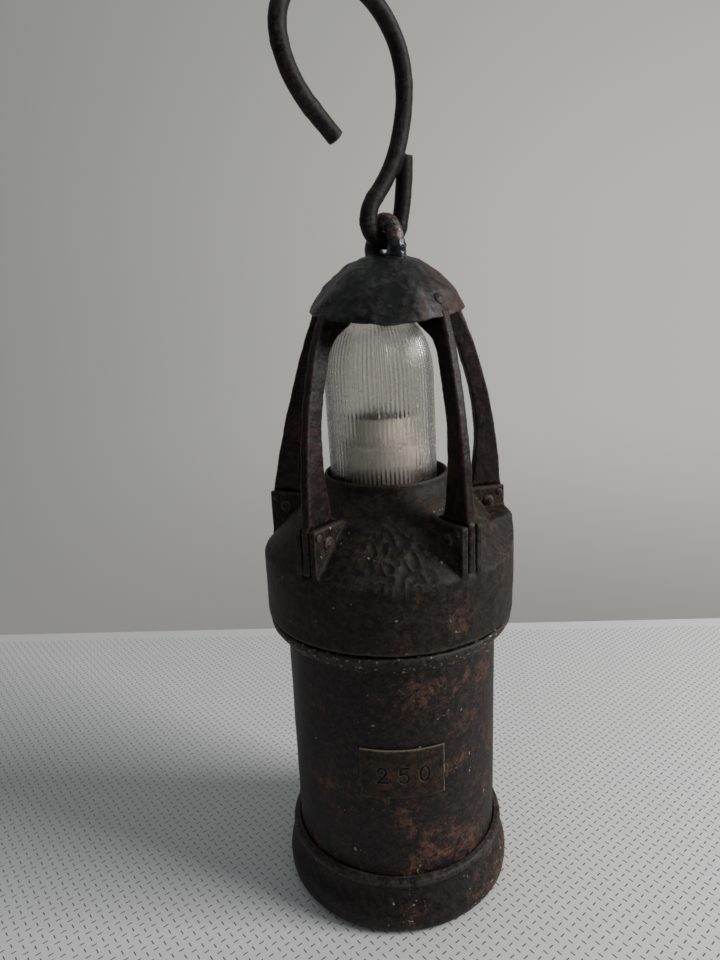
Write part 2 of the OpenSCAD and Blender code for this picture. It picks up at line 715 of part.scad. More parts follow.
// Ribbed bell: fine reeds run up its wall to the spring of the shoulder
module glass_bell() {
    rib_foot_z = seat_z + 1;
    color("#dfe5e2", 0.45) difference() {
        union() {
            translate([0, 0, flange_z]) cylinder(h = glass_spring_z - flange_z, r = rib_root_r);
            translate([0, 0, glass_spring_z]) rotate_extrude() polygon(concat([[0, 0]], dome_points(0),
                [[0, glass_top_z - glass_spring_z]]));
            translate([0, 0, flange_z]) cylinder(h = glass_flange_t, r = glass_flange_r);
            translate([0, 0, rib_foot_z]) linear_extrude(glass_spring_z + 2 - rib_foot_z)
                polygon([for (j = [0:2 * rib_n - 1])
                    let(a = 180 * j / rib_n, r = j % 2 == 0 ? rib_root_r - rib_h / 2 : glass_r)
                    [r * cos(a), r * sin(a)]]);
        }
        translate([0, 0, flange_z - 1]) cylinder(h = glass_spring_z - flange_z + 1, r = rib_root_r - glass_wall);
        translate([0, 0, glass_spring_z]) rotate_extrude() polygon(concat(
            [[0, -0.5], [rib_root_r - glass_wall, -0.5]],
            dome_points(glass_wall),
            [[0, (glass_dome_h - glass_wall) * dome_top_k]]));
    }
}

module flat_ring(z, h, outer_r, inner_r) {
    translate([0, 0, z]) difference() {
        cylinder(h = h, r = outer_r);
        translate([0, 0, -1]) cylinder(h = h + 2, r = inner_r);
    }
}

module upper_glass_gasket() {
    color("#1b1a19") flat_ring(seat_z - seal_t, seal_t, glass_flange_r, glass_r + 1);
}

module lower_glass_gasket() {
    color("#1b1a19") flat_ring(flange_z - seal_t, seal_t, glass_flange_r, drum_d / 2 + 2);
}

// Screwed ring with key slots; it presses the glass flange up against its seat
module clamp_ring() {
    top_z = flange_z - seal_t;
    color("#7d6a45") difference() {
        flat_ring(top_z - clamp_h, clamp_h, glass_flange_r + 0.5, drum_d / 2 + 1.5);
        for (a = [0:90:270]) rotate([0, 0, a]) translate([drum_d / 2, -2.5, top_z - clamp_h - 1]) cube([6, 5, 4]);
    }
}

// White enamelled drum on the contact disc, closed at the top round the bulb holder
module light_drum() {
    r = drum_d / 2;
    hole_r = socket_r + press_gap;
    color("#eceae2") translate([0, 0, ledge_z]) rotate_extrude() polygon(concat(
        [[r - drum_wall, 0], [r + 1, 0], [r + 1, drum_wall], [r, drum_wall]],
        arc([r - 2, drum_h - 2], 2, 0, 90, 4),
        [[hole_r, drum_h], [hole_r, drum_h - drum_wall], [r - drum_wall, drum_h - drum_wall]]));
}

module bulb_holder() {
    r = holder_d / 2;
    color("#f1efe8") translate([0, 0, drum_top_z]) rotate_extrude() polygon(concat(
        [[socket_r + press_gap, 0], [r, 0]],
        arc([r - 0.8, holder_h - 0.8], 0.8, 0, 90, 3),
        [[r - 1.8, holder_h], [r - 1.8, 3], [socket_r + press_gap, 3]]));
}

// A brass cup whose lip bears on the drum's top from below
module bulb_socket() {
    color("#b49a5e") translate([0, 0, drum_top_z - socket_drop]) difference() {
        union() {
            cylinder(h = socket_h, r = socket_r);
            translate([0, 0, socket_drop - drum_wall - 1]) cylinder(h = 1, r = socket_lip_r);
        }
        translate([0, 0, socket_floor]) cylinder(h = socket_h, r = cap_r + press_gap);
    }
}

module bulb_cap() {
    color("#c2a868") translate([0, 0, cap_z]) {
        cylinder(h = 1.5, r1 = 2.5, r2 = 3.6);
        translate([0, 0, 1.5]) cylinder(h = cap_h - 1.5, r = cap_r);
    }
}

module bulb_envelope() {
    r = bulb_d / 2;
    color("#e9eef0", 0.4) translate([0, 0, bulb_z]) rotate_extrude() difference() {
        union() {
            translate([0, r - 2.2]) circle(r = r, $fn = 48);
            square([cap_r - 0.3, 4]);
        }
        translate([0, r - 2.2]) circle(r = r - 0.7, $fn = 48);
        translate([-r - 1, -r * 2]) square([2 * r + 2, 2 * r]);
        translate([-2 * r, -1]) square([2 * r, 4 * r]);
        square([cap_r - 1.2, 5]);
    }
}

// Two support wires and the fine coil between them
module filament() {
    color("#55524c") translate([0, 0, bulb_z]) {
        for (side = [-1, 1]) translate([side * 2, 0, 0]) cylinder(h = 5.5, r = 0.3, $fn = 16);
        translate([-2.3, 0, 5.5]) rotate([0, 90, 0]) cylinder(h = 4.6, r = 0.35, $fn = 16);
    }
}

module contact_disc() {
    color("#2b2019") difference() {
        translate([0, 0, disc_z]) cylinder(h = disc_t, r = head_bore_r - seat_gap);
        for (p = contact_at) translate([p[0], p[1], disc_z - 1])
            cylinder(h = disc_t + 2, r = bush_r + press_gap);
        for (a = screw_turns) rotate([0, 0, a]) translate([screw_at, 0, disc_z - 1])
            cylinder(h = disc_t + 2, r = screw_r + press_gap, $fn = 24);
    }
}

module disc_screws() {
    color("#8b7a52") for (a = screw_turns) rotate([0, 0, a]) translate([screw_at, 0, disc_z])
        cylinder(h = screw_l, r = screw_r, $fn = 24);
}

// A brass cup held in the disc; the pin runs through its floor
module contact_bush() {
    h = bush_floor + pin_collar_t + spring_room + 1.5;
    translate([0, 0, disc_z - bush_floor]) difference() {
        union() {
            cylinder(h = h, r = bush_r);
            cylinder(h = bush_floor, r = bush_r + 1.2);
        }
        translate([0, 0, -1]) cylinder(h = bush_floor + 2, r = pin_r + run_gap);
        translate([0, 0, bush_floor]) cylinder(h = pin_collar_t + spring_room, r = bush_bore_r);
    }
}

module contact_bushes() {
    color("#b1935a") for (p = contact_at) translate([p[0], p[1], 0]) contact_bush();
}

// Pins pressed up onto the battery's terminals, each with a collar inside its bush
module contact_pins() {
    color("#c4a566") for (p = contact_at) translate([p[0], p[1], 0]) {
        translate([0, 0, terminal_z]) cylinder(h = disc_z - terminal_z, r = pin_r);
        translate([0, 0, disc_z]) cylinder(h = pin_collar_t, r = pin_collar_r);
    }
}

module contact_springs() {
    color("#9aa0a3") for (p = contact_at) translate([p[0], p[1], disc_z + pin_collar_t])
        coil(pin_r - 0.2, 0.9, spring_room, 4);
}

module lock_bolt() {
    color("#8a8d8f") at_lock() translate([bolt_at, 0, bolt_z]) {
        cylinder(h = 0.8, r1 = bolt_r - 0.8, r2 = bolt_r);
        translate([0, 0, 0.8]) cylinder(h = bolt_l - 0.8, r = bolt_r);
    }
}

module lock_spring() {
    color("#9aa0a3") at_lock() translate([bolt_at, 0, bolt_z + bolt_l])
        coil(bolt_r - 0.7, 0.7, bolt_spring_h, 4);
}

// Straight stretch of wire from p, heading at an angle in the hook's plane
module wire_run(p, heading, l) {
    translate([p[0], p[1], 0]) rotate([0, 90, heading]) cylinder(h = l, r = wire_r, $fn = 32);
}

// Slight thickening where two stretches of wire meet, along the heading of p
module wire_knot(p) {
    translate([p[0], p[1], 0]) rotate([0, 90, p[2]])
        cylinder(h = knot_l, r = wire_r + knot_rise, center = true, $fn = 32);
}

// Bends of the hook's wire, each [radius, turn], left turns positive
knot_l = 3;
knot_rise = 0.15;
eye_turn = 15;
hook_bends = [[shank_bend_r, -shank_lean], [back_r, shank_lean + 1.5], [bow_side_r, 80], [hook_bow_r, 111.3],
              [front_r, 33.3]];

// Place and heading of a bend's start: [x, height, heading]
function bend_side(t) = t > 0 ? 90 : -90;
function bend_from(i) = i == 0 ? [-link_r, arch_z, 90] : bend_to(bend_from(i - 1), hook_bends[i - 1]);
function bend_mid(at, b) = let(a = at[2] + bend_side(b[1])) [at[0] + b[0] * cos(a), at[1] + b[0] * sin(a)];
function bend_to(at, b) = let(c = bend_mid(at, b), a = at[2] - bend_side(b[1]) + b[1])
    [c[0] + b[0] * cos(a), c[1] + b[0] * sin(a), at[2] + b[1]];

// One bend of wire
module wire_bend(at, b) {
    c = bend_mid(at, b);
    a = at[2] - bend_side(b[1]);
    translate([c[0], c[1], 0]) rotate([0, 0, min(a, a + b[1])])
        rotate_extrude(angle = abs(b[1]), $fn = 96) translate([b[0], 0]) circle(r = wire_r, $fn = 32);
}

// Hook of round wire: bowed tail, eye, leaning shank, long back, bow, front and cut beak
module hook() {
    tip = bend_from(len(hook_bends));
    tail_from = [link_r * cos(eye_turn), arch_z - link_r * sin(eye_turn), 90 - eye_turn];
    color("#4b3a30") in_hook_plane() {
        wire_bend(tail_from, [tail_r, tail_turn]);
        wire_bend([-link_r, arch_z, 270], [link_r, 180 - eye_turn]);
        for (i = [0:len(hook_bends) - 1]) wire_bend(bend_from(i), hook_bends[i]);
        wire_run(tip, tip[2], beak_l);
        wire_knot(tail_from);
        for (i = [0:len(hook_bends)]) wire_knot(bend_from(i));
    }
}

pot_shell();
base_skirt();
pot_flange();
number_plate();
base_pad();
battery_case();
battery_lid();
center_terminal();
side_terminal();
terminal_nuts();
vent_plugs();
head_gasket();
shoulder_cap();
pillar_1();
pillar_2();
pillar_3();
pillar_4();
pillar_5();
large_ear_rivets();
small_ear_rivets();
hood();
hood_rivets();
crown_plate();
staple();
top_cushion();
glass_bell();
upper_glass_gasket();
lower_glass_gasket();
clamp_ring();
light_drum();
bulb_holder();
bulb_socket();
bulb_cap();
bulb_envelope();
filament();
contact_disc();
disc_screws();
contact_bushes();
contact_pins();
contact_springs();
lock_bolt();
lock_spring();
hook();
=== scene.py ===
# %% [markdown]
# This lesson dresses an electric pit hand lamp. Its solids come from the frame: a steel pot for the
# battery, a cast head that screws on to it, five pillars round a ribbed glass bell, a domed hood, and a
# wire hook in a staple. The frame gives every place and size, and each cell below gives one piece the
# surface of a lamp that has seen long service underground.

# %% Load the frame
import math

import bmesh
import bpy
import numpy as np
from mathutils import Euler, Matrix, Vector, noise


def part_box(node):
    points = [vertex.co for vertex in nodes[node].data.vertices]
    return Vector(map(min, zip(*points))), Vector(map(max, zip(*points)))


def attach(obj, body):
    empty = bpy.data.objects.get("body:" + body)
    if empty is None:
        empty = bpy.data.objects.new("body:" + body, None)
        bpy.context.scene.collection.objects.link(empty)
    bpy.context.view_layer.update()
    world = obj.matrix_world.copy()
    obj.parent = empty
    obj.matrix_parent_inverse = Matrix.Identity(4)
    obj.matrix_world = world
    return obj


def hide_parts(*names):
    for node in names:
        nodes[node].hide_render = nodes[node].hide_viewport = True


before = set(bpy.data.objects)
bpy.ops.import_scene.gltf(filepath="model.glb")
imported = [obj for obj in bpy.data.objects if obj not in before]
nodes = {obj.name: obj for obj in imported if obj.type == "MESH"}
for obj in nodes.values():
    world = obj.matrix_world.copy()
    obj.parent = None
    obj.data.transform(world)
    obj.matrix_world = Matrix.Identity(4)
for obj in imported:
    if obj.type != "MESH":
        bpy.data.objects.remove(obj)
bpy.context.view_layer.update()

MM = 0.001


# %% [markdown]
# The photographer stood close and held the lens a little above the hood, so the lamp narrows towards its
# foot. The camera is written as they held it: a place, a pitch, a small turn and a small roll, in radians,
# with a 27 mm lens in front of a picture 36 mm high.

# %% Camera
CAMERA_PLACE = Vector((0, -330.2, 298.8)) * MM
PITCH, TURN, ROLL = 0.26494, -0.03801, 0.04071
LENS, FILM = 27, 36


def add_object(name, data):
    """A new object in the scene for a camera, a light or a mesh."""
    made = bpy.data.objects.new(name, data)
    bpy.context.scene.collection.objects.link(made)
    return made


forward = Vector((math.sin(TURN) * math.cos(PITCH), math.cos(TURN) * math.cos(PITCH), -math.sin(PITCH)))
level = Vector((math.cos(TURN), -math.sin(TURN), 0))
down = forward.cross(level)
image_right = math.cos(ROLL) * level + math.sin(ROLL) * down
image_down = math.cos(ROLL) * down - math.sin(ROLL) * level

lens = bpy.data.cameras.new("camera")
lens.lens = LENS
lens.sensor_width = FILM
lens.clip_start = 10 * MM
camera = add_object("camera", lens)
aimed = Matrix((image_right, -image_down, -forward)).transposed().to_4x4()
camera.matrix_world = Matrix.Translation(CAMERA_PLACE) @ aimed
bpy.context.scene.camera = camera
bpy.context.scene.view_settings.view_transform = "Standard"
print("camera at", tuple(round(v, 3) for v in CAMERA_PLACE))

# %% [markdown]
# Node graphs are easier to read as sums. Wire holds one output socket and overloads the operators, so that
# 1 - mask or rust * 0.5 adds the Math nodes by itself, and calc() adds those that have no operator. Every
# other node comes from make(), which takes the node's type, its settings and the values or wires of its
# sockets. It serves shaders and Geometry Nodes alike.


# %% Node expressions
def make(tree, kind, settings=None, inputs=None, out=0):
    """Adds a node and gives the wire of one of its outputs."""
    node = tree.nodes.new(kind)
    for name, value in (settings or {}).items():
        setattr(node, name, value)
    for key, value in (inputs or {}).items():
        if isinstance(value, Wire):
            tree.links.new(value.socket, node.inputs[key])
        else:
            node.inputs[key].default_value = value
    return Wire(node.outputs[out]) if node.outputs else None


def calc(operation, *values):
    """Adds a Math node for numbers and wires, of which at least one is a wire."""
    tree = next(value.socket.id_data for value in values if isinstance(value, Wire))
    return make(tree, "ShaderNodeMath", {"operation": operation}, dict(enumerate(values)))


class Wire:
    """An output socket that works in Python sums."""

    def __init__(self, socket):
        self.socket = socket

    def __add__(self, other):
        return calc("ADD", self, other)

    def __radd__(self, other):
        return calc("ADD", other, self)

    def __sub__(self, other):
        return calc("SUBTRACT", self, other)

    def __rsub__(self, other):
        return calc("SUBTRACT", other, self)

    def __mul__(self, other):
        return calc("MULTIPLY", self, other)

    def __rmul__(self, other):
        return calc("MULTIPLY", other, self)

    def between(self, low, high):
        """0 below low and 1 above high, with a soft step between them."""
        return make(self.socket.id_data, "ShaderNodeMapRange", {"interpolation_type": "SMOOTHSTEP"},
                    {"Value": self, "From Min": low, "From Max": high})


def noise_at(place, size, detail=4.0, rough=0.55, warp=0.0):
    """Cloudy noise from 0 to 1 whose lumps are about size metres across."""
    return make(place.socket.id_data, "ShaderNodeTexNoise", None, {
        "Vector": place, "Scale": 1 / size, "Detail": detail, "Roughness": rough, "Distortion": warp})


def blend_of(tree, share, low, high):
    """A colour from low to high as share goes from 0 to 1."""
    return make(tree, "ShaderNodeMix", {"data_type": "RGBA"}, {0: share, 6: low, 7: high}, out=2)


def parts_of(vector):
    """The X, Y and Z of a vector wire."""
    tree = vector.socket.id_data
    return [make(tree, "ShaderNodeSeparateXYZ", None, {0: vector}, out=axis) for axis in "XYZ"]


print("node helpers ready")

# %% [markdown]
# A finish is a Principled shader whose sockets are constants, or are fed by wires that change over the
# piece. The wires start from the place in the piece's own coordinates, so a pattern stays on its piece when
# the hook swings or the head turns. Colours are noted as a screen shows them, and turned into the linear
# values that a shader wants.


# %% Finishes
def srgb(r, g, b):
    """A colour read off a screen, from 0 to 255, as linear values."""
    def line(v):
        v = v / 255
        return v / 12.92 if v <= 0.04045 else ((v + 0.055) / 1.055) ** 2.4
    return (line(r), line(g), line(b), 1.0)


def open_finish(skin):
    """A finish's tree, its shader and a wire of the place in the piece."""
    tree = skin.node_tree
    return tree, tree.nodes["Principled BSDF"], make(tree, "ShaderNodeTexCoord", out="Object")


def plain_finish(name, colour, roughness, metallic=0.0):
    """A new finish with constants, opened for wires."""
    skin = bpy.data.materials.new(name)
    skin.use_nodes = True
    tree, shader, place = open_finish(skin)
    shader.inputs["Base Color"].default_value = colour
    shader.inputs["Roughness"].default_value = roughness
    shader.inputs["Metallic"].default_value = metallic
    return skin, tree, shader, place


def feed(shader, name, wire):
    """Lets a wire feed one of the shader's sockets."""
    shader.id_data.links.new(wire.socket, shader.inputs[name])


def fed(shader, name):
    """The wire that feeds one of the shader's sockets."""
    return Wire(shader.inputs[name].links[0].from_socket)


def bump_from(shader, height, strength, distance):
    """Lets a wire of heights feed the shader's normal."""
    bump = {"Strength": strength, "Distance": distance, "Height": height}
    feed(shader, "Normal", make(shader.id_data, "ShaderNodeBump", None, bump))


print("finish helpers ready")

# %% [markdown]
# The lamp stands on a pale table printed with short dashes. Thousands of small meshes could make the print,
# but it has no height, so it is a pattern in the finish: a lattice of cells with one dash in each, even rows
# leaning one way and odd rows the other, half a cell further on. Sums and differences of a cell's own
# coordinates tell how far a point is along and across its dash.

# %% Table
TABLE_BACK, TABLE_SIDE, TABLE_FRONT, TABLE_T = 264 * MM, 900 * MM, -700 * MM, 30 * MM
BORDER = 14 * MM
DASH_PITCH, DASH_ROW, PRINT_TURN = 6.15 * MM, 3.15 * MM, math.radians(4)
DASH_LENGTH, DASH_WIDTH = (0.5, 0.62), (0.08, 0.16)
TABLE_TONE, DASH_TONE = srgb(207, 207, 205), srgb(98, 100, 103)


def board(name, low, high):
    """A box between two corners."""
    mesh = bpy.data.meshes.new(name)
    shape = bmesh.new()
    bmesh.ops.create_cube(shape, size=1)
    for vert in shape.verts:
        vert.co = Vector([a + (b - a) * (c + 0.5) for a, b, c in zip(low, high, vert.co)])
    shape.to_mesh(mesh)
    shape.free()
    return add_object(name, mesh)


table_skin, tree, shader, place = plain_finish("table_skin", TABLE_TONE, 0.5)
x, y, _ = parts_of(place)
u = x * math.cos(PRINT_TURN) - y * math.sin(PRINT_TURN)
v = x * math.sin(PRINT_TURN) + y * math.cos(PRINT_TURN)
row = calc("FLOOR", v * (1 / DASH_ROW))
lane = calc("PINGPONG", row, 1.0)
cell_x = (calc("FRACT", u * (1 / DASH_PITCH) + lane * 0.5) - 0.5) * (DASH_PITCH / DASH_ROW)
cell_y = calc("FRACT", v * (1 / DASH_ROW)) - 0.5
rising, falling = cell_x + cell_y, cell_x - cell_y
along = rising * lane + falling * (1 - lane)
across = rising * (1 - lane) + falling * lane
dash = (1 - calc("ABSOLUTE", along).between(*DASH_LENGTH)) \
    * (1 - calc("ABSOLUTE", across).between(*DASH_WIDTH)) * calc("LESS_THAN", y, TABLE_BACK - BORDER)
feed(shader, "Base Color", blend_of(tree, dash, TABLE_TONE, DASH_TONE))

table = board("table", (-TABLE_SIDE, TABLE_FRONT, -TABLE_T), (TABLE_SIDE, TABLE_BACK, 0))
table.data.materials.append(table_skin)
print("table from", round(TABLE_FRONT, 2), "to", round(TABLE_BACK, 3), "m")

# %% [markdown]
# The room is dim, and it is the world's colour, in two versions. A ray that looks at it, or comes through
# glass, sees the grey wall behind the lamp, painted with the window's light: dark at the left and light at
# the right. A ray that lights or mirrors sees the wall only at the back, a darker room in front, and a
# ceiling overhead. A large soft lamp on the right stands for the window, and throws the shadow to the left.

# %% Wall and light
WALL_LEFT, WALL_RIGHT = srgb(92, 93, 92), srgb(180, 179, 175)
WALL_LOW, WALL_HIGH = srgb(139, 138, 136), srgb(96, 98, 97)
ROOM_DARK, CEILING = srgb(52, 52, 54), srgb(150, 152, 155)
LAMP_MIDDLE = Vector((0, 0, 200)) * MM

world = bpy.data.worlds.new("room")
bpy.context.scene.world = world
world.use_nodes = True
tree = world.node_tree
x, y, z = parts_of(make(tree, "ShaderNodeTexCoord", out="Generated"))
# Painted light on the wall behind: darker at the left, lighter at the right where the window falls.
wall = blend_of(tree, x.between(-1.35, 0.45), WALL_LEFT, WALL_RIGHT)
wall = blend_of(tree, (0 - z).between(0.15, 0.55), wall, WALL_LOW)
wall = blend_of(tree, z.between(0.05, 0.5) * 0.2, wall, WALL_HIGH)
room = blend_of(tree, y.between(-0.15, 0.45), ROOM_DARK, wall)
room = blend_of(tree, z.between(0.25, 0.8), room, CEILING)
looks = make(tree, "ShaderNodeLightPath", out="Is Camera Ray") \
    + make(tree, "ShaderNodeLightPath", out="Is Transmission Ray")
feed(tree.nodes["Background"], "Color", blend_of(tree, looks.between(0, 1), room, wall))


def soft_lamp(name, place_mm, size_mm, watts):
    """An area lamp that faces the middle of the pit lamp."""
    light = bpy.data.lights.new(name, "AREA")
    light.shape = "RECTANGLE"
    light.size, light.size_y = (v * MM for v in size_mm)
    light.energy = watts
    lamp = add_object(name, light)
    lamp.location = Vector(place_mm) * MM
    lamp.rotation_mode = "QUATERNION"
    lamp.rotation_quaternion = (LAMP_MIDDLE - lamp.location).to_track_quat("-Z", "Y")
    return lamp


window = soft_lamp("window", (1920, -440, 1230), (900, 1000), 52)
print("window", round((window.location - LAMP_MIDDLE).length, 2), "m from the lamp")

# %% [markdown]
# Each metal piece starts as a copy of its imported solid. The solid's mesh is loose triangles, many of them
# long and thin, so their corners are joined, and a voxel remesh cuts the skin into even small faces that can
# take a dent. A few rounds of smoothing then take the sharpness off the corners.

# %% Copies of the solids
WELD = 0.002 * MM


def smooth_faces(mesh):
    """Shades the mesh as one rounded surface."""
    for face in mesh.polygons:
        face.use_smooth = True


def settle(piece):
    """Turns the piece's modifiers into plain mesh."""
    evaluated = piece.evaluated_get(bpy.context.evaluated_depsgraph_get())
    mesh = bpy.data.meshes.new_from_object(evaluated)
    piece.modifiers.clear()
    piece.data = mesh
    smooth_faces(mesh)


def merged_mesh(node):
    """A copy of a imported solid's mesh with its corners joined."""
    mesh = nodes[node].data.copy()
    mesh.materials.clear()
    shape = bmesh.new()
    shape.from_mesh(mesh)
    bmesh.ops.remove_doubles(shape, verts=shape.verts, dist=WELD)
    shape.to_mesh(mesh)
    shape.free()
    return mesh


def recast(name, node, grain, soften):
    """An even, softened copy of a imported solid: grain is the size of its faces, soften the rounds."""
    piece = add_object(name, merged_mesh(node))
    remesh = piece.modifiers.new("even", "REMESH")
    remesh.mode = "VOXEL"
    remesh.voxel_size = grain
    smooth = piece.modifiers.new("soften", "SMOOTH")
    smooth.factor = 0.5
    smooth.iterations = soften
    settle(piece)
    return piece


print("solids to copy:", len(nodes))

# %% [markdown]
# Three Geometry Nodes trees follow, and they start, end and run alike. A tree's sizes and its seed are named
# inputs, which a modifier knows only by the socket's identifier. The modifier's result is kept as plain
# mesh, because the frame takes finished pieces.


# %% Tree helpers
def new_tree(name, inputs):
    """A Geometry Nodes tree with named inputs, and their wires by name."""
    tree = bpy.data.node_groups.new(name, "GeometryNodeTree")
    inputs = {"Geometry": "Geometry", **inputs}
    for label, kind in inputs.items():
        tree.interface.new_socket(label, in_out="INPUT", socket_type="NodeSocket" + kind)
    tree.interface.new_socket("Geometry", in_out="OUTPUT", socket_type="NodeSocketGeometry")
    given = make(tree, "NodeGroupInput").socket.node
    return tree, {label: Wire(given.outputs[label]) for label in inputs}


def push_out(tree, geometry, amount):
    """Moves each point out along its normal, or inwards where the amount is negative."""
    offset = make(tree, "ShaderNodeVectorMath", {"operation": "SCALE"},
                  {0: make(tree, "GeometryNodeInputNormal"), "Scale": amount})
    return make(tree, "GeometryNodeSetPosition", None, {"Geometry": geometry, "Offset": offset})


def close_tree(tree, geometry, skin):
    """Ends a tree with Realize Instances and Set Material."""
    real = make(tree, "GeometryNodeRealizeInstances", None, {0: geometry})
    done = make(tree, "GeometryNodeSetMaterial", None, {"Geometry": real, "Material": skin})
    make(tree, "NodeGroupOutput", None, {0: done})


def run_tree(piece, tree, values):
    """Runs a tree on a piece with its inputs set by identifier, and keeps the result as plain mesh."""
    modifier = piece.modifiers.new(tree.name, "NODES")
    modifier.node_group = tree
    for item in tree.interface.items_tree:
        if item.in_out == "INPUT" and item.name in values:
            modifier[item.identifier] = values[item.name]
    piece.update_tag()
    settle(piece)


print("tree helpers ready")

# %% [markdown]
# A lamp that has been dropped and left damp has no true face. Sculpting could give it dents, but a script
# can't repeat a hand's strokes, so a tree sinks shallow dents and fine scale into any piece by noise. It only
# goes inwards, and the piece stays inside its own outline.

# %% Weathering tree
weather_tree, given = new_tree("weather", {
    "Dent Size": "Float", "Dent Depth": "Float", "Scale Size": "Float", "Scale Depth": "Float",
    "Seed": "Float", "Material": "Material"})


def lumps(size, detail, seed):
    """Noise from 0 to 1 in the piece's own place, shuffled by the seed."""
    return make(weather_tree, "ShaderNodeTexNoise", {"noise_dimensions": "4D"},
                {"W": seed, "Scale": calc("DIVIDE", 1.0, size), "Detail": detail, "Roughness": 0.55})


dents = lumps(given["Dent Size"], 2.0, given["Seed"]).between(0.25, 0.75) * given["Dent Depth"]
flakes = lumps(given["Scale Size"], 3.0, given["Seed"]).between(0.3, 0.8) * given["Scale Depth"]
sunk = push_out(weather_tree, given["Geometry"], 0 - (dents + flakes))
close_tree(weather_tree, sunk, given["Material"])
print("weathering tree of", len(weather_tree.nodes), "nodes")

# %% [markdown]
# Hands and rock rub a lamp bright where it stands out. How far each point of a piece stands out from its
# neighbours is kept as the attribute edge, 0 on flats and 1 on sharp corners, and the finishes read it.

# %% Rubbed edges
EDGE_ROUNDS, EDGE_GAIN = 2, 9


def mark_edges(piece):
    """Stores how far each point stands out from its neighbours."""
    mesh = piece.data
    count = len(mesh.vertices)
    place, normal = np.empty(count * 3), np.empty(count * 3)
    mesh.vertices.foreach_get("co", place)
    mesh.vertex_normals.foreach_get("vector", normal)
    place, normal = place.reshape(-1, 3), normal.reshape(-1, 3)
    pairs = np.empty(len(mesh.edges) * 2, int)
    mesh.edges.foreach_get("vertices", pairs)
    a, b = pairs.reshape(-1, 2).T
    degree = np.maximum(np.bincount(pairs, minlength=count), 1)
    length = np.linalg.norm(place[a] - place[b], axis=1).mean()

    def mean_of(values):
        total = np.zeros(values.shape)
        np.add.at(total, a, values[b])
        np.add.at(total, b, values[a])
        return total / (degree[:, None] if values.ndim == 2 else degree)

    proud = ((place - mean_of(place)) * normal).sum(axis=1) / length
    for _ in range(EDGE_ROUNDS):
        proud = (proud + mean_of(proud)) / 2
    edge = mesh.attributes.new("edge", "FLOAT", "POINT")
    edge.data.foreach_set("value", np.clip(proud * EDGE_GAIN, -1, 1).astype(np.float32))


print("edges over", EDGE_ROUNDS, "rounds of neighbours")

# %% [markdown]
# So every piece of metal is finished in two calls. weather() wears it and gives it its finish, and dress()
# tells the frame which body it rides and which solid it stands for.


# %% Wear and hand over
def weather(piece, skin, dent, scale, seed):
    """Wears the piece and gives it its finish: dents and scale are (size, depth) in millimetres."""
    run_tree(piece, weather_tree, {
        "Dent Size": dent[0] * MM, "Dent Depth": dent[1] * MM,
        "Scale Size": scale[0] * MM, "Scale Depth": scale[1] * MM, "Seed": seed, "Material": skin})
    mark_edges(piece)


def dress(piece, body, slot, *replaced):
    """Hands the piece to the frame: the body it rides and the nodes it stands for; its material slot is not
    used.
    """
    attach(piece, body)
    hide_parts(*replaced)
    print(piece.name, "has", sum(len(f.vertices) - 2 for f in piece.data.polygons), "triangles")


print("ready to dress", len(nodes), "solids")

# %% [markdown]
# Old steel is many layers: blue-black scale, brown rust where the scale has gone, grease that dulls it, and
# grey metal where hands and rock have rubbed the edges. One function mixes them, so that all the iron of
# the lamp looks like one family, and each piece sets its own colours, rust and gloss. Greasy scale mirrors
# little, so the shader's specular level is low: the window would else lay a grey sheen over every piece.

# %% Iron and steel
GRIME, PALE_FLECK = srgb(10, 9, 9), srgb(150, 148, 126)
RIGHT_SIDE = 50 * MM


def old_iron(name, dark, brown, patch, rust=0.5, wear=0.15, dull=0.42, shine=0.18,
             rubbed=srgb(120, 112, 104), speckle=0.3, flecks=0.0, rust_and_light_to_right=0.0):
    """Scale of the colour dark, rust of the colour brown and edges of the colour rubbed.

    patch is the size of the rust's clouds in mm, rust how much of it there is, speckle how much more is
    sprinkled over the scale, and the last argument how much more of it grows towards +X, on the window side,
    where it is partly rust and partly painted light. wear is the share of bare edges and flecks that of small
    pale spots. dull is the roughness, and shine the specular level.
    """
    skin, tree, shader, place = plain_finish(name, dark, dull)
    shader.inputs["Specular IOR Level"].default_value = shine
    cloud = noise_at(place, patch * MM, 6.0, 0.68, 0.4)
    fine = noise_at(place, 3.2 * MM, 5.0, 0.75)
    grit = noise_at(place, 0.9 * MM, 3.0, 0.7)
    edge = make(tree, "ShaderNodeAttribute", {"attribute_name": "edge"}, out="Fac")
    # The rust share grows towards +X, the window side: partly rust, partly painted light on the lit side.
    share = cloud * 0.68 + fine * 0.32 + parts_of(place)[0] * (rust_and_light_to_right / RIGHT_SIDE)
    rusty = share.between(0.60 - 0.22 * rust, 0.78 - 0.16 * rust)
    stain = noise_at(place, patch * 1.9 * MM, 3.0).between(0.42, 0.68)
    sprinkle = (fine * 0.4 + grit * 0.6).between(0.40, 0.66) * speckle
    colour = blend_of(tree, fine.between(0.35, 0.7), GRIME, dark)
    half_brown = tuple(v * 0.5 for v in brown[:3]) + (1.0,)
    deep = blend_of(tree, grit.between(0.36, 0.62), half_brown, brown)
    colour = blend_of(tree, (sprinkle + rusty * (0.35 + 0.65 * stain)).between(0, 1), colour, deep)
    bare = (edge + fine * 0.9 - 0.55).between(0.05, 0.5) * wear
    colour = blend_of(tree, bare, colour, rubbed)
    if flecks:
        spot = noise_at(place, 1.9 * MM, 1.0, 0.4).between(0.745 - 0.04 * flecks, 0.765 - 0.04 * flecks) \
            * noise_at(place, 17 * MM, 2.0).between(0.62 - 0.12 * flecks, 0.66 - 0.12 * flecks)
        colour = blend_of(tree, spot * 0.8, colour, PALE_FLECK)
    feed(shader, "Base Color", colour)
    feed(shader, "Roughness", dull + rusty * 0.2 + fine * 0.2 - bare * 0.12)
    feed(shader, "Metallic", (0.12 - rusty * 0.1 + bare * 0.4).between(0, 1))
    bump_from(shader, fine * 0.6 + grit * 0.4, 0.75, 0.4 * MM)
    return skin


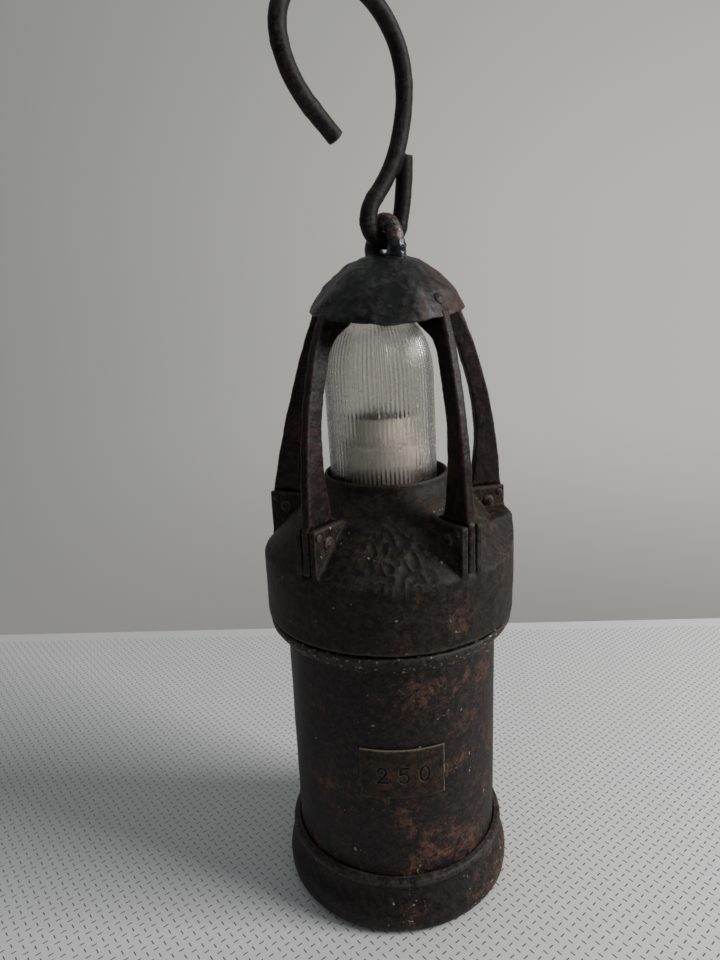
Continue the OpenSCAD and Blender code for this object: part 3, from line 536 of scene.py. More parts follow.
pot_skin = old_iron("pot_iron", srgb(37, 34, 36), srgb(108, 74, 59), patch=20, rust=0.55, flecks=0.5,
                    rust_and_light_to_right=0.035)
skirt_skin = old_iron("skirt_iron", srgb(34, 31, 31), srgb(92, 64, 53), patch=18, rust=0.36, flecks=0.9,
                      rust_and_light_to_right=0.06)
flange_skin = old_iron("flange_iron", srgb(44, 40, 34), srgb(90, 68, 52), patch=14, rust=0.45, flecks=2.2)
cast_skin = old_iron("cast_iron", srgb(45, 37, 30), srgb(82, 61, 47), patch=17, wear=0.12, dull=0.46,
                     flecks=0.5, rust_and_light_to_right=0.04)
pillar_skin = old_iron("pillar_iron", srgb(35, 23, 21), srgb(70, 41, 34), patch=12, wear=0.22, dull=0.32,
                       shine=0.2, rubbed=srgb(106, 84, 78))
hood_skin = old_iron("hood_iron", srgb(29, 33, 31), srgb(80, 48, 40), patch=13, rust=0.25, wear=0.2, dull=0.3,
                     shine=0.26, rubbed=srgb(98, 98, 94), speckle=0.14, rust_and_light_to_right=0.3)
hook_skin = old_iron("hook_iron", srgb(35, 31, 29), srgb(64, 45, 37), patch=12, rust=0.35, speckle=0.2)
rivet_skin = old_iron("rivet_iron", srgb(50, 36, 30), srgb(92, 58, 44), patch=4, rust=0.7, wear=0.25,
                      dull=0.4)
print("eight iron finishes")

# %% [markdown]
# The pot is a drawn steel tube, brazed to a flared foot ring below and a tapered flange above. Turned
# profiles could make them again, but their solids have the right shape already, so all three are copies
# with shallow dents and scale.

# %% Pot, foot ring and flange
pot = recast("pot_tube", "pot_shell", grain=1.15 * MM, soften=2)
weather(pot, pot_skin, dent=(30, 0.30), scale=(2.4, 0.10), seed=2.0)
dress(pot, "pot", "pot_steel", "pot_shell")

skirt = recast("foot_ring", "base_skirt", grain=0.7 * MM, soften=2)
weather(skirt, skirt_skin, dent=(16, 0.45), scale=(2.0, 0.14), seed=5.0)
dress(skirt, "pot", "pot_steel", "base_skirt")

flange = recast("flange_ring", "pot_flange", grain=0.6 * MM, soften=1)
weather(flange, flange_skin, dent=(9, 0.22), scale=(1.6, 0.12), seed=7.0)
dress(flange, "pot", "pot_steel", "pot_flange")

# %% [markdown]
# The head's ring, shoulder, collar and ears are one casting. Its surface is rougher than the drawn pot's,
# and between the two front pillars the shoulder has ripples where it has been struck or the mould was
# poor. A bump in the finish would vanish at the outline and in the exported mesh, so they are pressed into
# the mesh along its normals, by a noise that is drawn out up the cone and leans a little, which makes ridges
# instead of lumps.

# %% Head casting
DRAWN_OUT, RIPPLE_LEAN = 0.3, 0.3


def sink_ripples(piece, centre_mm, reach_mm, depth_mm, size_mm, seed):
    """Presses ragged ripples into the piece round a place on its surface."""
    centre = Vector(centre_mm) * MM
    shift = Vector((seed, 0, 0))
    normals = [v.normal.copy() for v in piece.data.vertices]
    for vert, normal in zip(piece.data.vertices, normals):
        away = (vert.co - centre).length / (reach_mm * MM)
        if away < 1:
            along = Vector((vert.co.x, vert.co.y, vert.co.z * DRAWN_OUT + vert.co.x * RIPPLE_LEAN))
            ridge = abs(noise.noise(along / (size_mm * MM) + shift)) * 2
            vert.co -= normal * (depth_mm * MM) * (1 - away * away) * min(1.0, ridge)


cast = recast("head_casting", "shoulder_cap", grain=0.8 * MM, soften=2)
sink_ripples(cast, centre_mm=(3, -48, 186), reach_mm=19, depth_mm=1.0, size_mm=4.4, seed=8.0)
weather(cast, cast_skin, dent=(15, 0.40), scale=(1.9, 0.16), seed=11.0)
dress(cast, "head", "cast_metal", "shoulder_cap")

# %% [markdown]
# The pillars are bowed bars on edge, rubbed along their outer corners and red-brown between, and each widens
# inwards into a web where it meets the hood. The lamp has had hard knocks: the two front pillars lean apart
# towards the top and the one at the left rear is bowed less. The solids have the even bow, so only those
# three are bent, point by point. LEAN gives the degrees round the axis at the hood and how late they set in,
# and PUSH_IN how far the bow's middle moves in.

# %% Pillars
PILLARS = 5
hood_low, hood_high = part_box("hood")
EAR_TOP, WEB_LOW, WEB_HIGH, WEB, WEB_END = 201.3 * MM, 270 * MM, 282 * MM, 8 * MM, 3 * MM
LEAN = {1: (-17.0, 1.4), 2: (8.0, 3.0)}
NO_LEAN = (0.0, 1.0)
PUSH_IN = {5: 2.0 * MM}


def clamp(value):
    """The value, kept from 0 to 1."""
    return min(max(value, 0.0), 1.0)


def bend_bar(bar, number):
    """Widens the bar's inner edge below the hood, and leans the bar by degrees that grow with the height."""
    most, power = LEAN.get(number, NO_LEAN)
    edges = {}
    for vert in bar.data.vertices:
        reach = edges.setdefault(round(vert.co.z / MM), [1.0, 0.0])
        radius = vert.co.xy.length
        reach[:] = min(reach[0], radius), max(reach[1], radius)
    for vert in bar.data.vertices:
        height, radius = vert.co.z, vert.co.xy.length
        low, high = edges[round(height / MM)]
        share = clamp((height - EAR_TOP) / (hood_low.z - EAR_TOP))
        web = clamp((height - WEB_LOW) / (WEB_HIGH - WEB_LOW)) ** 2 * clamp(2 - (height - WEB_HIGH) / WEB_END)
        turn = math.atan2(vert.co.y, vert.co.x) + math.radians(most * share ** power)
        radius -= web * WEB * (high - radius) / (high - low)
        radius -= PUSH_IN.get(number, 0.0) * math.sin(math.pi * share)
        vert.co.x, vert.co.y = radius * math.cos(turn), radius * math.sin(turn)


for number in range(1, PILLARS + 1):
    bar = recast(f"guard_bar_{number}", f"pillar_{number}", grain=0.5 * MM, soften=3)
    bend_bar(bar, number)
    weather(bar, pillar_skin, dent=(9, 0.45), scale=(1.4, 0.12), seed=20.0 + number)
    dress(bar, "head", "pillar_metal", f"pillar_{number}")

# %% [markdown]
# Every rivet head is a low dome, hammered a little differently from the next. Heads could be copied one by
# one, but a Geometry Nodes tree does a whole row: it puts a dome on each point of a mesh, turned along the
# point's stored aim, and scatters its size.

# %% Rivet heads
SMALLEST_HEAD = 0.88

rivet_tree, given = new_tree("rivet_heads", {
    "Head Radius": "Float", "Head Height": "Float", "Seed": "Int", "Material": "Material"})
ball = make(rivet_tree, "GeometryNodeMeshUVSphere", None, {"Segments": 28, "Rings": 18, "Radius": 1.0})
girth = make(rivet_tree, "ShaderNodeCombineXYZ", None,
             {"X": given["Head Radius"], "Y": given["Head Radius"], "Z": given["Head Height"]})
dome = make(rivet_tree, "GeometryNodeTransform", None, {"Geometry": ball, "Scale": girth})
stored = make(rivet_tree, "GeometryNodeInputNamedAttribute", {"data_type": "FLOAT_VECTOR"}, {"Name": "aim"})
turn = make(rivet_tree, "FunctionNodeAlignRotationToVector", {"axis": "Z"}, {"Vector": stored})
spread = make(rivet_tree, "FunctionNodeRandomValue", {"data_type": "FLOAT"},
              {2: SMALLEST_HEAD, 3: 1.0, "Seed": given["Seed"]}, out=1)
copies = make(rivet_tree, "GeometryNodeInstanceOnPoints", None,
              {"Points": given["Geometry"], "Instance": dome, "Rotation": turn, "Scale": spread})
close_tree(rivet_tree, copies, given["Material"])


def rivet_heads(name, spots, radius_mm, height_mm, seed, skin=rivet_skin):
    """spots is a list of (place, aim), one for each head."""
    mesh = bpy.data.meshes.new(name)
    mesh.from_pydata([place for place, _ in spots], [], [])
    aim = mesh.attributes.new("aim", "FLOAT_VECTOR", "POINT")
    aim.data.foreach_set("vector", [v for _, way in spots for v in way])
    piece = add_object(name, mesh)
    run_tree(piece, rivet_tree, {"Head Radius": radius_mm * MM, "Head Height": height_mm * MM,
                                 "Seed": seed, "Material": skin})
    weather(piece, skin, dent=(3, 0.25), scale=(1.0, 0.08), seed=float(seed))
    return piece


print("rivet tree of", len(rivet_tree.nodes), "nodes")

# %% [markdown]
# Each pillar is held between its ears by a large rivet and a small one. Their places could be written down,
# but their solids give them: the points of a rivet node that lie near a pillar are one rivet, and a head goes
# on each end of it, sunk by most of its height so that it stands out no more than the solid's.

# %% Ear rivets
FIRST_PILLAR = -126
SHANK_REACH, HEAD_SINK = 12 * MM, 0.9


def pillar_axes(k):
    """The outward and sideways directions at pillar k, counted from the front left."""
    turn = math.radians(FIRST_PILLAR + 360 / PILLARS * k)
    return Vector((math.cos(turn), math.sin(turn), 0)), Vector((-math.sin(turn), math.cos(turn), 0))


def ear_spots(node):
    """Where the heads of an ear rivet node lie: both ends of each shank."""
    low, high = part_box(node)
    middle = Vector((0, 0, (low.z + high.z) / 2))
    places = [v.co.copy() for v in nodes[node].data.vertices]
    spots = []
    for k in range(PILLARS):
        out, side = pillar_axes(k)
        mine = [p for p in places if p.normalized().dot(out) > 0 and abs(p.dot(side)) < SHANK_REACH]
        along = [p.dot(side) for p in mine]
        radius = sum(p.dot(out) for p in mine) / len(mine)
        face = (max(along) - min(along)) / 2
        spots += [(out * radius + side * way * face + middle, side * way) for way in (-1, 1)]
    return spots


for node, radius, height, seed in (("large_ear_rivets", 3.4, 1.5, 31), ("small_ear_rivets", 1.9, 0.8, 32)):
    spots = [(place - way * height * HEAD_SINK * MM, way) for place, way in ear_spots(node)]
    heads = rivet_heads(node.replace("rivets", "rivet_heads"), spots, radius, height, seed)
    dress(heads, "head", "rivet_steel", node)

# %% [markdown]
# The hood is a spherical cap of sheet, and years of knocks have drawn its front edge down like a tongue.
# Pulling a copy's rim down would stretch its faces, so the solid gives only the sphere, and the sheet is laid
# again as rings of points from the crown to the rim, round the edge, and back inside. The front rings reach
# further down the same sphere.

# %% Hood sheet
RIM_R = (hood_high.x - hood_low.x) / 2
HOOD_H = hood_high.z - hood_low.z
DOME_R = (RIM_R ** 2 + HOOD_H ** 2) / (2 * HOOD_H)
DOME_Z = hood_high.z - DOME_R
HOOD_AT = Vector(((hood_low.x + hood_high.x) / 2, 0, DOME_Z))
TONGUE, TONGUE_REACH, TONGUE_TIP, TONGUE_CURVE = 5.2 * MM, math.radians(95), 0.09, 1.45
RIM_WAVE = 0.25 * MM
SHEET, LIP_BULGE = 2.0 * MM, 0.012
TURNS, RINGS, LIP = 200, 56, 4


def close_rings(name, rings):
    """A closed mesh over rings of equal length, the first and last of them drawn to a point."""
    across = len(rings[0])
    points = [p for ring in rings for p in ring]
    points += [sum(rings[0], Vector()) / across, sum(rings[-1], Vector()) / across]
    top, bottom = len(points) - 2, len(points) - 1
    last = (len(rings) - 1) * across
    faces = [(top, j, (j + 1) % across) for j in range(across)]
    for i in range(len(rings) - 1):
        for j in range(across):
            k = (j + 1) % across
            faces.append((i * across + j, (i + 1) * across + j, (i + 1) * across + k, i * across + k))
    faces += [(bottom, last + (j + 1) % across, last + j) for j in range(across)]
    mesh = bpy.data.meshes.new(name)
    mesh.from_pydata(points, [], faces)
    shape = bmesh.new()
    shape.from_mesh(mesh)
    bmesh.ops.recalc_face_normals(shape, faces=shape.faces)
    shape.to_mesh(mesh)
    shape.free()
    return add_object(name, mesh)


def rim_drop(turn):
    """How far the rim hangs below its even line: the tongue is in front, at -90 degrees."""
    away = math.remainder(turn + math.pi / 2, 2 * math.pi)
    share = max(0.0, 1 - (math.hypot(away, TONGUE_TIP) - TONGUE_TIP) / TONGUE_REACH)
    return TONGUE * share ** TONGUE_CURVE + RIM_WAVE * math.sin(PILLARS * turn)


def hood_ring(share, radius):
    """One ring of the cap: share 0 is the crown and 1 the rim."""
    ring = []
    for j in range(TURNS):
        turn = 2 * math.pi * j / TURNS
        tilt = share * math.acos((hood_low.z - rim_drop(turn) - DOME_Z) / DOME_R)
        way = Vector((math.sin(tilt) * math.cos(turn), math.sin(tilt) * math.sin(turn), math.cos(tilt)))
        ring.append(HOOD_AT + radius * way)
    return ring


outer = [hood_ring((i + 0.5) / RINGS, DOME_R) for i in range(RINGS)]
lip = [hood_ring(1 + LIP_BULGE * math.sin(math.pi * i / LIP), DOME_R - SHEET * i / LIP)
       for i in range(LIP + 1)]
inner = [hood_ring((i + 0.5) / RINGS, DOME_R - SHEET) for i in reversed(range(RINGS))]
hood = close_rings("hood_sheet", outer + lip + inner)
print("hood sphere of", round(DOME_R / MM, 1), "mm radius")

# %% [markdown]
# Then come the blows. Each is a place on the cap, a reach and a depth, and presses the sheet towards the
# sphere's centre, most in its middle. The larger ones flatten the front and the shoulders.

# %% Hood blows
BLOWS = (
    ((-24, -10, 303), 15, 2.2), ((26, -8, 305), 14, 1.6), ((-17, -26, 297), 14, 1.5),
    ((4, -33, 292), 12, 1.2), ((20, -20, 302), 11, 1.2), ((-6, -18, 306), 11, 0.9),
    ((25, -24, 292), 9, 1.0), ((-30, -10, 294), 10, 0.9), ((25, 14, 298), 14, 1.2),
    ((-22, 12, 297), 12, 1.0), ((4, 30, 295), 13, 1.1))


def beat(piece, blows):
    """Dents the piece: each blow is (place, reach, depth) in millimetres."""
    for vert in piece.data.vertices:
        out = (vert.co - HOOD_AT).normalized()
        for place, reach, depth in blows:
            away = (vert.co - Vector(place) * MM).length / (reach * MM)
            if away < 1:
                vert.co -= out * depth * MM * (1 - away * away) ** 2


beat(hood, BLOWS)
weather(hood, hood_skin, dent=(8, 0.8), scale=(1.8, 0.18), seed=41.0)
dress(hood, "head", "hood_metal", "hood")

# %% [markdown]
# A rivet through the hood ends each pillar. The heads are set into the dome above the pillars' tops, so the
# two pillars that lean take their rivets round with them.

# %% Hood rivets
HOOD_RIVET_TILT, HOOD_RIVET_SINK = math.radians(29), 1.5 * MM
hood_spots = []
for k in range(PILLARS):
    out, _ = pillar_axes(k)
    out.rotate(Euler((0, 0, math.radians(LEAN.get(k + 1, NO_LEAN)[0]))))
    way = out * math.cos(HOOD_RIVET_TILT) + Vector((0, 0, math.sin(HOOD_RIVET_TILT)))
    hood_spots.append((HOOD_AT + way * (DOME_R - HOOD_RIVET_SINK), way))
heads = rivet_heads("hood_rivet_heads", hood_spots, 2.9, 1.3, 33, hood_skin)
dress(heads, "head", "rivet_steel", "hood_rivets")

# %% [markdown]
# The staple is a bent round bar that stands square to the hook, its foot thick with old tar, black and
# glossy. Lumps of their own could stand for the tar, but they would show a seam, so the legs' points move out
# and the finish turns from rust to tar. They move only along the line through both legs, and less high
# between them, where the hook's wire swings.

# %% Staple
TAR_TONE, TAR_ROUGHNESS = srgb(34, 37, 43), 0.13
TAR_LOW, TAR_HIGH = 320 * MM, 323 * MM
TAR_INSIDE, TAR_OUTSIDE, TAR_FADE, TAR_SWELL = 313.2 * MM, 317.5 * MM, 3 * MM, 1.3 * MM
HOOK_TURN = math.radians(34)
LEGS = Vector((-math.sin(HOOK_TURN), math.cos(HOOK_TURN), 0))

staple_skin = old_iron("staple_iron", srgb(92, 70, 63), srgb(128, 92, 78), patch=7, rust=0.6, wear=0.35,
                       dull=0.28, shine=0.5, rubbed=srgb(168, 152, 146))
tree, shader, place = open_finish(staple_skin)
tar = 1 - (parts_of(place)[2] + noise_at(place, 4 * MM, 2.0) * 8 * MM).between(TAR_LOW, TAR_HIGH)
feed(shader, "Base Color", blend_of(tree, tar, fed(shader, "Base Color"), TAR_TONE))
feed(shader, "Roughness", fed(shader, "Roughness") * (1 - tar) + TAR_ROUGHNESS * tar)

staple = recast("staple_bar", "staple", grain=0.4 * MM, soften=3)
staple_low, staple_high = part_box("staple")
middle = (staple_low + staple_high) / 2
for vert, normal in zip(staple.data.vertices, [v.normal.copy() for v in staple.data.vertices]):
    to_leg, facing = (vert.co - middle).dot(LEGS), normal.dot(LEGS)
    top = TAR_OUTSIDE if to_leg * facing > 0 else TAR_INSIDE
    vert.co += normal * TAR_SWELL * abs(facing) * clamp((top - vert.co.z) / TAR_FADE)
weather(staple, staple_skin, dent=(5, 0.4), scale=(1.5, 0.1), seed=51.0)
dress(staple, "head", "forged_steel", "staple")

# %% [markdown]
# The hook is one wire, smoother than the castings. Its end comes up behind its own loop. The tail is the same
# piece as the loop, so the finish finds it by its place, to the right of the loop and below a slanted line,
# and darkens there.

# %% Hook
# The colour of the hook's darker tail.
TAIL_DARK = srgb(16, 9, 7)
tree, shader, place = open_finish(hook_skin)
x, _, z = parts_of(place)
tail = x.between(4 * MM, 6 * MM) * (1 - (z - x * 0.9).between(339 * MM, 342 * MM))
feed(shader, "Base Color", blend_of(tree, tail * 0.85, fed(shader, "Base Color"), TAIL_DARK))

hook = recast("hook_wire", "hook", grain=0.45 * MM, soften=4)
weather(hook, hook_skin, dent=(16, 0.3), scale=(1.7, 0.06), seed=52.0)
dress(hook, "hook", "forged_steel", "hook")

# %% [markdown]
# The bell is pressed glass. A copy of its solid has no even rows of points for the reeds, so the bell is
# turned from a profile: a flat top, a round shoulder, a straight wall and a flange that the gaskets hold,
# then back up the inside. There are six points round the wall to each reed.

# %% Bell profile
bell_low, bell_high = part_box("glass_bell")
REEDS, REED_POINTS, REED_DEPTH, REED_R = 76, 6, 0.34 * MM, 25.0 * MM
ROOT_R = REED_R - REED_DEPTH
WALL = 1.3 * MM
SHOULDER_H, TOP_R = 33 * MM, 15 * MM
FLANGE_T, FLANGE_ROUND = 4 * MM, 0.5 * MM
TOP_TILT = math.acos(TOP_R / ROOT_R)
SPRING_Z = bell_high.z - SHOULDER_H * math.sin(TOP_TILT)


def bell_profile():
    """Radius and height down the outside from the flat top, round the flange, and up the inside."""
    flange_r = (bell_high.x - bell_low.x) / 2
    foot_z, bore_r = bell_low.z + FLANGE_T, ROOT_R - WALL
    flat = [(TOP_R * k, bell_high.z) for k in (0.15, 0.5, 0.8, 0.93)]
    dome = [(ROOT_R * math.cos(t), SPRING_Z + SHOULDER_H * math.sin(t))
            for t in [TOP_TILT * (1 - i / 22) for i in range(23)]]
    wall = [(ROOT_R, SPRING_Z + (foot_z - SPRING_Z) * i / 24) for i in range(1, 25)]
    flange = [(flange_r - FLANGE_ROUND, foot_z), (flange_r, foot_z - FLANGE_ROUND),
              (flange_r, bell_low.z + FLANGE_ROUND), (flange_r - FLANGE_ROUND, bell_low.z),
              (bore_r, bell_low.z)]
    bore = [(bore_r, bell_low.z + (SPRING_Z - bell_low.z) * i / 10) for i in range(1, 11)]
    vault = [(bore_r * math.cos(t), SPRING_Z + (SHOULDER_H - WALL) * math.sin(t))
             for t in [TOP_TILT * i / 14 for i in range(1, 15)]]
    under = [(vault[-1][0] * k, vault[-1][1]) for k in (0.7, 0.35, 0.1)]
    return flat + dome + wall + flange + bore + vault + under


def turned(name, profile, steps):
    """A closed piece turned round the axis from (radius, height) points."""
    rings = [[Vector((r * math.cos(2 * math.pi * j / steps), r * math.sin(2 * math.pi * j / steps), z))
              for j in range(steps)] for r, z in profile]
    return close_rings(name, rings)


bell = turned("ribbed_bell", bell_profile(), REEDS * REED_POINTS)
print("bell of", REEDS, "reeds,", round((bell_high.z - bell_low.z) / MM, 1), "mm high")

# %% [markdown]
# Fine reeds run up the wall, bend in over the shoulder and fade before the flat top. Bump alone would leave
# the glass's outline smooth. Each reed is the same wave of the angle round the axis, so a Geometry Nodes
# tree raises them all on the outside of the turned wall.

# %% Reeds
reed_tree, given = new_tree("reeds", {
    "Reeds": "Float", "Depth": "Float", "Foot": "Float", "Fade Start": "Float", "Fade End": "Float",
    "Material": "Material"})
x, y, z = parts_of(make(reed_tree, "GeometryNodeInputPosition"))
wave = 0.5 + 0.5 * calc("COSINE", calc("ARCTAN2", y, x) * given["Reeds"])
fade = (1 - z.between(given["Fade Start"], given["Fade End"])) * calc("GREATER_THAN", z, given["Foot"])
from_axis = make(reed_tree, "ShaderNodeCombineXYZ", None, {"X": x, "Y": y})
facing = make(reed_tree, "ShaderNodeVectorMath", {"operation": "DOT_PRODUCT"},
              {0: make(reed_tree, "GeometryNodeInputNormal"), 1: from_axis}, out="Value")
rise = wave * fade * given["Depth"] * calc("GREATER_THAN", facing, 0.0)
close_tree(reed_tree, push_out(reed_tree, given["Geometry"], rise), given["Material"])
print("reed tree of", len(reed_tree.nodes), "nodes")

# %% [markdown]
# Old glass is clear but not clean. Dust clouds it and specks stick to it. Painted shade lies in the grooves
# between the reeds, deepest at the foot, where the collar's shadow falls on the bell as it comes out of the
# collar. The bell sits loose in its gaskets and leans a little to the left, so the finish finds the grooves
# from the leaning axis.

# %% Glass bell
BELL_SHIFT, BELL_LEAN = 0.7 * MM, 0.022
REED_FOOT, FADE_START, FADE_END = 2 * MM, 9 * MM, 3 * MM
COLLAR_TOP = 214.4 * MM
CLEAR_TONE, DUST_TONE, GROOVE_SHADE_TONE = srgb(250, 247, 244), srgb(210, 200, 188), srgb(92, 84, 78)

glass_skin, tree, shader, place = plain_finish("bell_glass", srgb(246, 245, 243), 0.2)
shader.inputs["Transmission Weight"].default_value = 1.0
shader.inputs["IOR"].default_value = 1.46
shader.inputs["Specular IOR Level"].default_value = 0.3
dust = noise_at(place, 9 * MM, 5.0, 0.65).between(0.35, 0.8)
specks = noise_at(place, 1.8 * MM, 1.0).between(0.70, 0.76)
feed(shader, "Roughness", 0.18 + dust * 0.2 + specks * 0.3)
clear = blend_of(tree, (dust * 0.3 + specks * 0.5).between(0, 1), CLEAR_TONE, DUST_TONE)
x, y, z = parts_of(place)
x = x + BELL_SHIFT + (z - bell_low.z) * BELL_LEAN
# Painted shade in the grooves between the reeds, and a painted shadow of the collar at the bell's foot.
groove_shade = (0.5 - 0.5 * calc("COSINE", calc("ARCTAN2", y, x) * REEDS)).between(0.3, 0.8)
collar_shadow = 1 - (z + dust * 3 * MM).between(COLLAR_TOP + 3 * MM, COLLAR_TOP + 8 * MM)
feed(shader, "Base Color", blend_of(tree, groove_shade * (0.16 + collar_shadow * 0.84), clear, GROOVE_SHADE_TONE))
bump_from(shader, noise_at(place, 5 * MM, 2.0), 0.25, 0.3 * MM)

run_tree(bell, reed_tree, {"Reeds": float(REEDS), "Depth": REED_DEPTH,
                           "Foot": bell_low.z + FLANGE_T + REED_FOOT, "Material": glass_skin,
                           "Fade Start": bell_high.z - FADE_START, "Fade End": bell_high.z - FADE_END})
for vert in bell.data.vertices:
    vert.co.x -= BELL_SHIFT + BELL_LEAN * (vert.co.z - bell_low.z)
dress(bell, "head", "clear_glass", "glass_bell")

# %% [markdown]
# A tarnished plate is soldered to the front of the pot, with three stamped figures. The figures are only
# stock numbers of our own. Each is a few strokes, straight or round, in a box one unit high whose origin is
# at its bottom middle.

# %% Stamped figures
FIGURE_H, FIGURE_FOOT, STROKE = 7.6 * MM, -4.2 * MM, 0.8 * MM
PUNCH_DEPTH, PUNCH_REACH, PUNCH_SLOPE = 0.45 * MM, 1.6, 2.2
NUMBER = (("2", -9.4), ("5", 0.4), ("0", 9.8))


def arc_points(cx, cy, rx, ry, start, end, count=14):
    """Points on an ellipse's arc, from start to end in degrees."""
    return [(cx + rx * math.cos(math.radians(start + (end - start) * i / count)),
             cy + ry * math.sin(math.radians(start + (end - start) * i / count))) for i in range(count + 1)]


FIGURES = {
    "2": [arc_points(0, 0.74, 0.26, 0.26, 165, -35) + [(-0.27, 0.02), (0.3, 0.02)],
          [(0.3, 0.02), (0.3, 0.1)]],
    "0": [arc_points(0, 0.5, 0.27, 0.5, 0, 360, 28)],
    "5": [[(0.26, 0.98), (-0.2, 0.98), (-0.22, 0.56)] + arc_points(0, 0.32, 0.28, 0.31, 120, -150)],
}


def distance_to(path, x, y):
    """The distance from a point to a path of straight strokes."""
    best = math.inf
    for (ax, ay), (bx, by) in zip(path, path[1:]):
        dx, dy = bx - ax, by - ay
        t = clamp(((x - ax) * dx + (y - ay) * dy) / max(dx * dx + dy * dy, 1e-12))
        best = min(best, math.hypot(x - ax - t * dx, y - ay - t * dy))
    return best


def punch(u, v):
    """How deep the figures are stamped at u along the plate and v up it, in metres."""
    depth = 0.0
    for figure, centre in NUMBER:
        x, y = (u - centre * MM) / FIGURE_H, (v - FIGURE_FOOT) / FIGURE_H
        if abs(x) < 0.5 and -0.2 < y < 1.2:
            near = min(distance_to(path, x, y) for path in FIGURES[figure]) * FIGURE_H
            depth = max(depth, PUNCH_DEPTH * clamp(PUNCH_REACH - PUNCH_SLOPE * near / STROKE))
    return depth


print("number", "".join(figure for figure, _ in NUMBER))

# %% [markdown]
# The plate is bent to the pot. Cutting the figures out with a Boolean would leave sharp walls and long thin
# faces, so its front is a fine grid that the punch sinks wherever a point lies near a stroke, with rounded,
# slightly ragged edges, and its sides and back follow the pot. It is trimmed a little, to lie inside its
# solid. Two attributes go with the points: ink, where a figure is, and one for a painted highlight, near the
# plate's right and upper edge.

# %% Number plate
plate_low, plate_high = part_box("number_plate")
pot_low, pot_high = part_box("pot_shell")
PLATE_SEAT = (pot_high.x - pot_low.x) / 2 + 0.05 * MM
PLATE_T, PLATE_W, PLATE_H = 1.1 * MM, 39 * MM, plate_high.z - plate_low.z
PLATE_MIDDLE = (plate_high.z + plate_low.z) / 2
PLATE_TURN = math.radians(3.7)
PLATE_TRIM = 0.996
ROUNDED, ROUND_REACH, UNEVEN = 0.35 * MM, 0.8 * MM, 0.08 * MM
RAGGED, ON_EDGE, GLINT_REACH = 0.35 * MM, 0.1 * MM, 0.9 * MM
COLUMNS, ROWS = 156, 100


def number_plate():
    """A bent plate: its front is a fine grid, its sides and back follow the pot."""
    shape = bmesh.new()
    ink = shape.verts.layers.float.new("ink")
    edge_glint = shape.verts.layers.float.new("edge_glint")

    def point(i, j, top):
        u, v = (i / COLUMNS - 0.5) * PLATE_W, (j / ROWS - 0.5) * PLATE_H
        from_side = min(PLATE_W / 2 - abs(u), PLATE_H / 2 - abs(v))
        worn = ROUNDED * max(0.0, 1 - from_side / ROUND_REACH) \
            + UNEVEN * noise.noise(Vector((u, v, 0)) / (4 * MM))
        ragged = 0.0
        if from_side < ON_EDGE and abs(u) > PLATE_W / 2 - ON_EDGE:
            ragged = RAGGED * noise.noise(Vector((u, v, 9)) / (3 * MM))
        turn = PLATE_TURN + (u + ragged) / PLATE_SEAT
        sunk = punch(u, v)
        radius = PLATE_SEAT + (PLATE_T - abs(worn) - sunk if top else 0.0)
        height = PLATE_MIDDLE + v * PLATE_TRIM
        vert = shape.verts.new((radius * math.sin(turn), -radius * math.cos(turn), height))
        vert[ink] = sunk / PUNCH_DEPTH
        # Painted highlight: this attribute rises near the plate's right and upper edge.
        vert[edge_glint] = max(0.0, 1 - min(PLATE_W / 2 - u, PLATE_H / 2 - v) / GLINT_REACH)
        return vert

    front, back = ([[point(i, j, top) for j in range(ROWS + 1)] for i in range(COLUMNS + 1)]
                   for top in (True, False))
    for i in range(COLUMNS):
        for j in range(ROWS):
            shape.faces.new((front[i][j], front[i + 1][j], front[i + 1][j + 1], front[i][j + 1]))
            shape.faces.new((back[i][j], back[i][j + 1], back[i + 1][j + 1], back[i + 1][j]))
    rim = [((i, j), (i + 1, j)) for j in (0, ROWS) for i in range(COLUMNS)] \
        + [((i, j), (i, j + 1)) for i in (0, COLUMNS) for j in range(ROWS)]
    for (i, j), (k, m) in rim:
        shape.faces.new((front[i][j], back[i][j], back[k][m], front[k][m]))
    bmesh.ops.recalc_face_normals(shape, faces=shape.faces)
    mesh = bpy.data.meshes.new("stamped_plate")
    shape.to_mesh(mesh)
    shape.free()
    smooth_faces(mesh)
    return add_object("stamped_plate", mesh)


EDGE_GLINT_TONE, INK_TONE = srgb(112, 102, 86), srgb(12, 11, 10)
plate_skin = old_iron("plate_brass", srgb(56, 43, 33), srgb(84, 60, 44), patch=9, rust=0.6, wear=0.1,
                      dull=0.44, rubbed=srgb(140, 128, 110))
tree, shader, place = open_finish(plate_skin)
ink, edge_glint = (make(tree, "ShaderNodeAttribute", {"attribute_name": name}, out="Fac")
               for name in ("ink", "edge_glint"))
# Painted highlight: a pale glint along the plate's right and upper edge.
glinted = (edge_glint + noise_at(place, 1.6 * MM, 3.0) - 0.9).between(0.2, 0.5)
tarnish = blend_of(tree, glinted, fed(shader, "Base Color"), EDGE_GLINT_TONE)
feed(shader, "Base Color", blend_of(tree, ink.between(0.1, 0.6), tarnish, INK_TONE))

plate = number_plate()
plate.data.materials.append(plate_skin)
mark_edges(plate)
dress(plate, "pot", "plate_metal", "number_plate")

# %% [markdown]
# The inner pieces get the finish of enamel, brass, rubber, felt, laminate, black moulding or bright steel.
# One function makes them all, as two tones that drift into each other with a fine grain. The bulb and its
# holder have finishes of their own: the holder's finish turns from white to brown-black inside its rim, a
# painted shade in its mouth.


# %% Inner finishes
def mottled(name, light, shade, roughness, metallic=0.0, size=6, bump=0.2):
    """A finish that drifts between two tones, with a fine grain."""
    skin, tree, shader, place = plain_finish(name, light, roughness, metallic)
    drift = noise_at(place, size * MM, 4.0, 0.6).between(0.3, 0.7)
    grain = noise_at(place, 0.7 * MM, 2.0)
    feed(shader, "Base Color", blend_of(tree, drift, light, shade))
    feed(shader, "Roughness", roughness + drift * 0.15 - grain * 0.08)
    bump_from(shader, grain, bump, 0.15 * MM)
    return skin


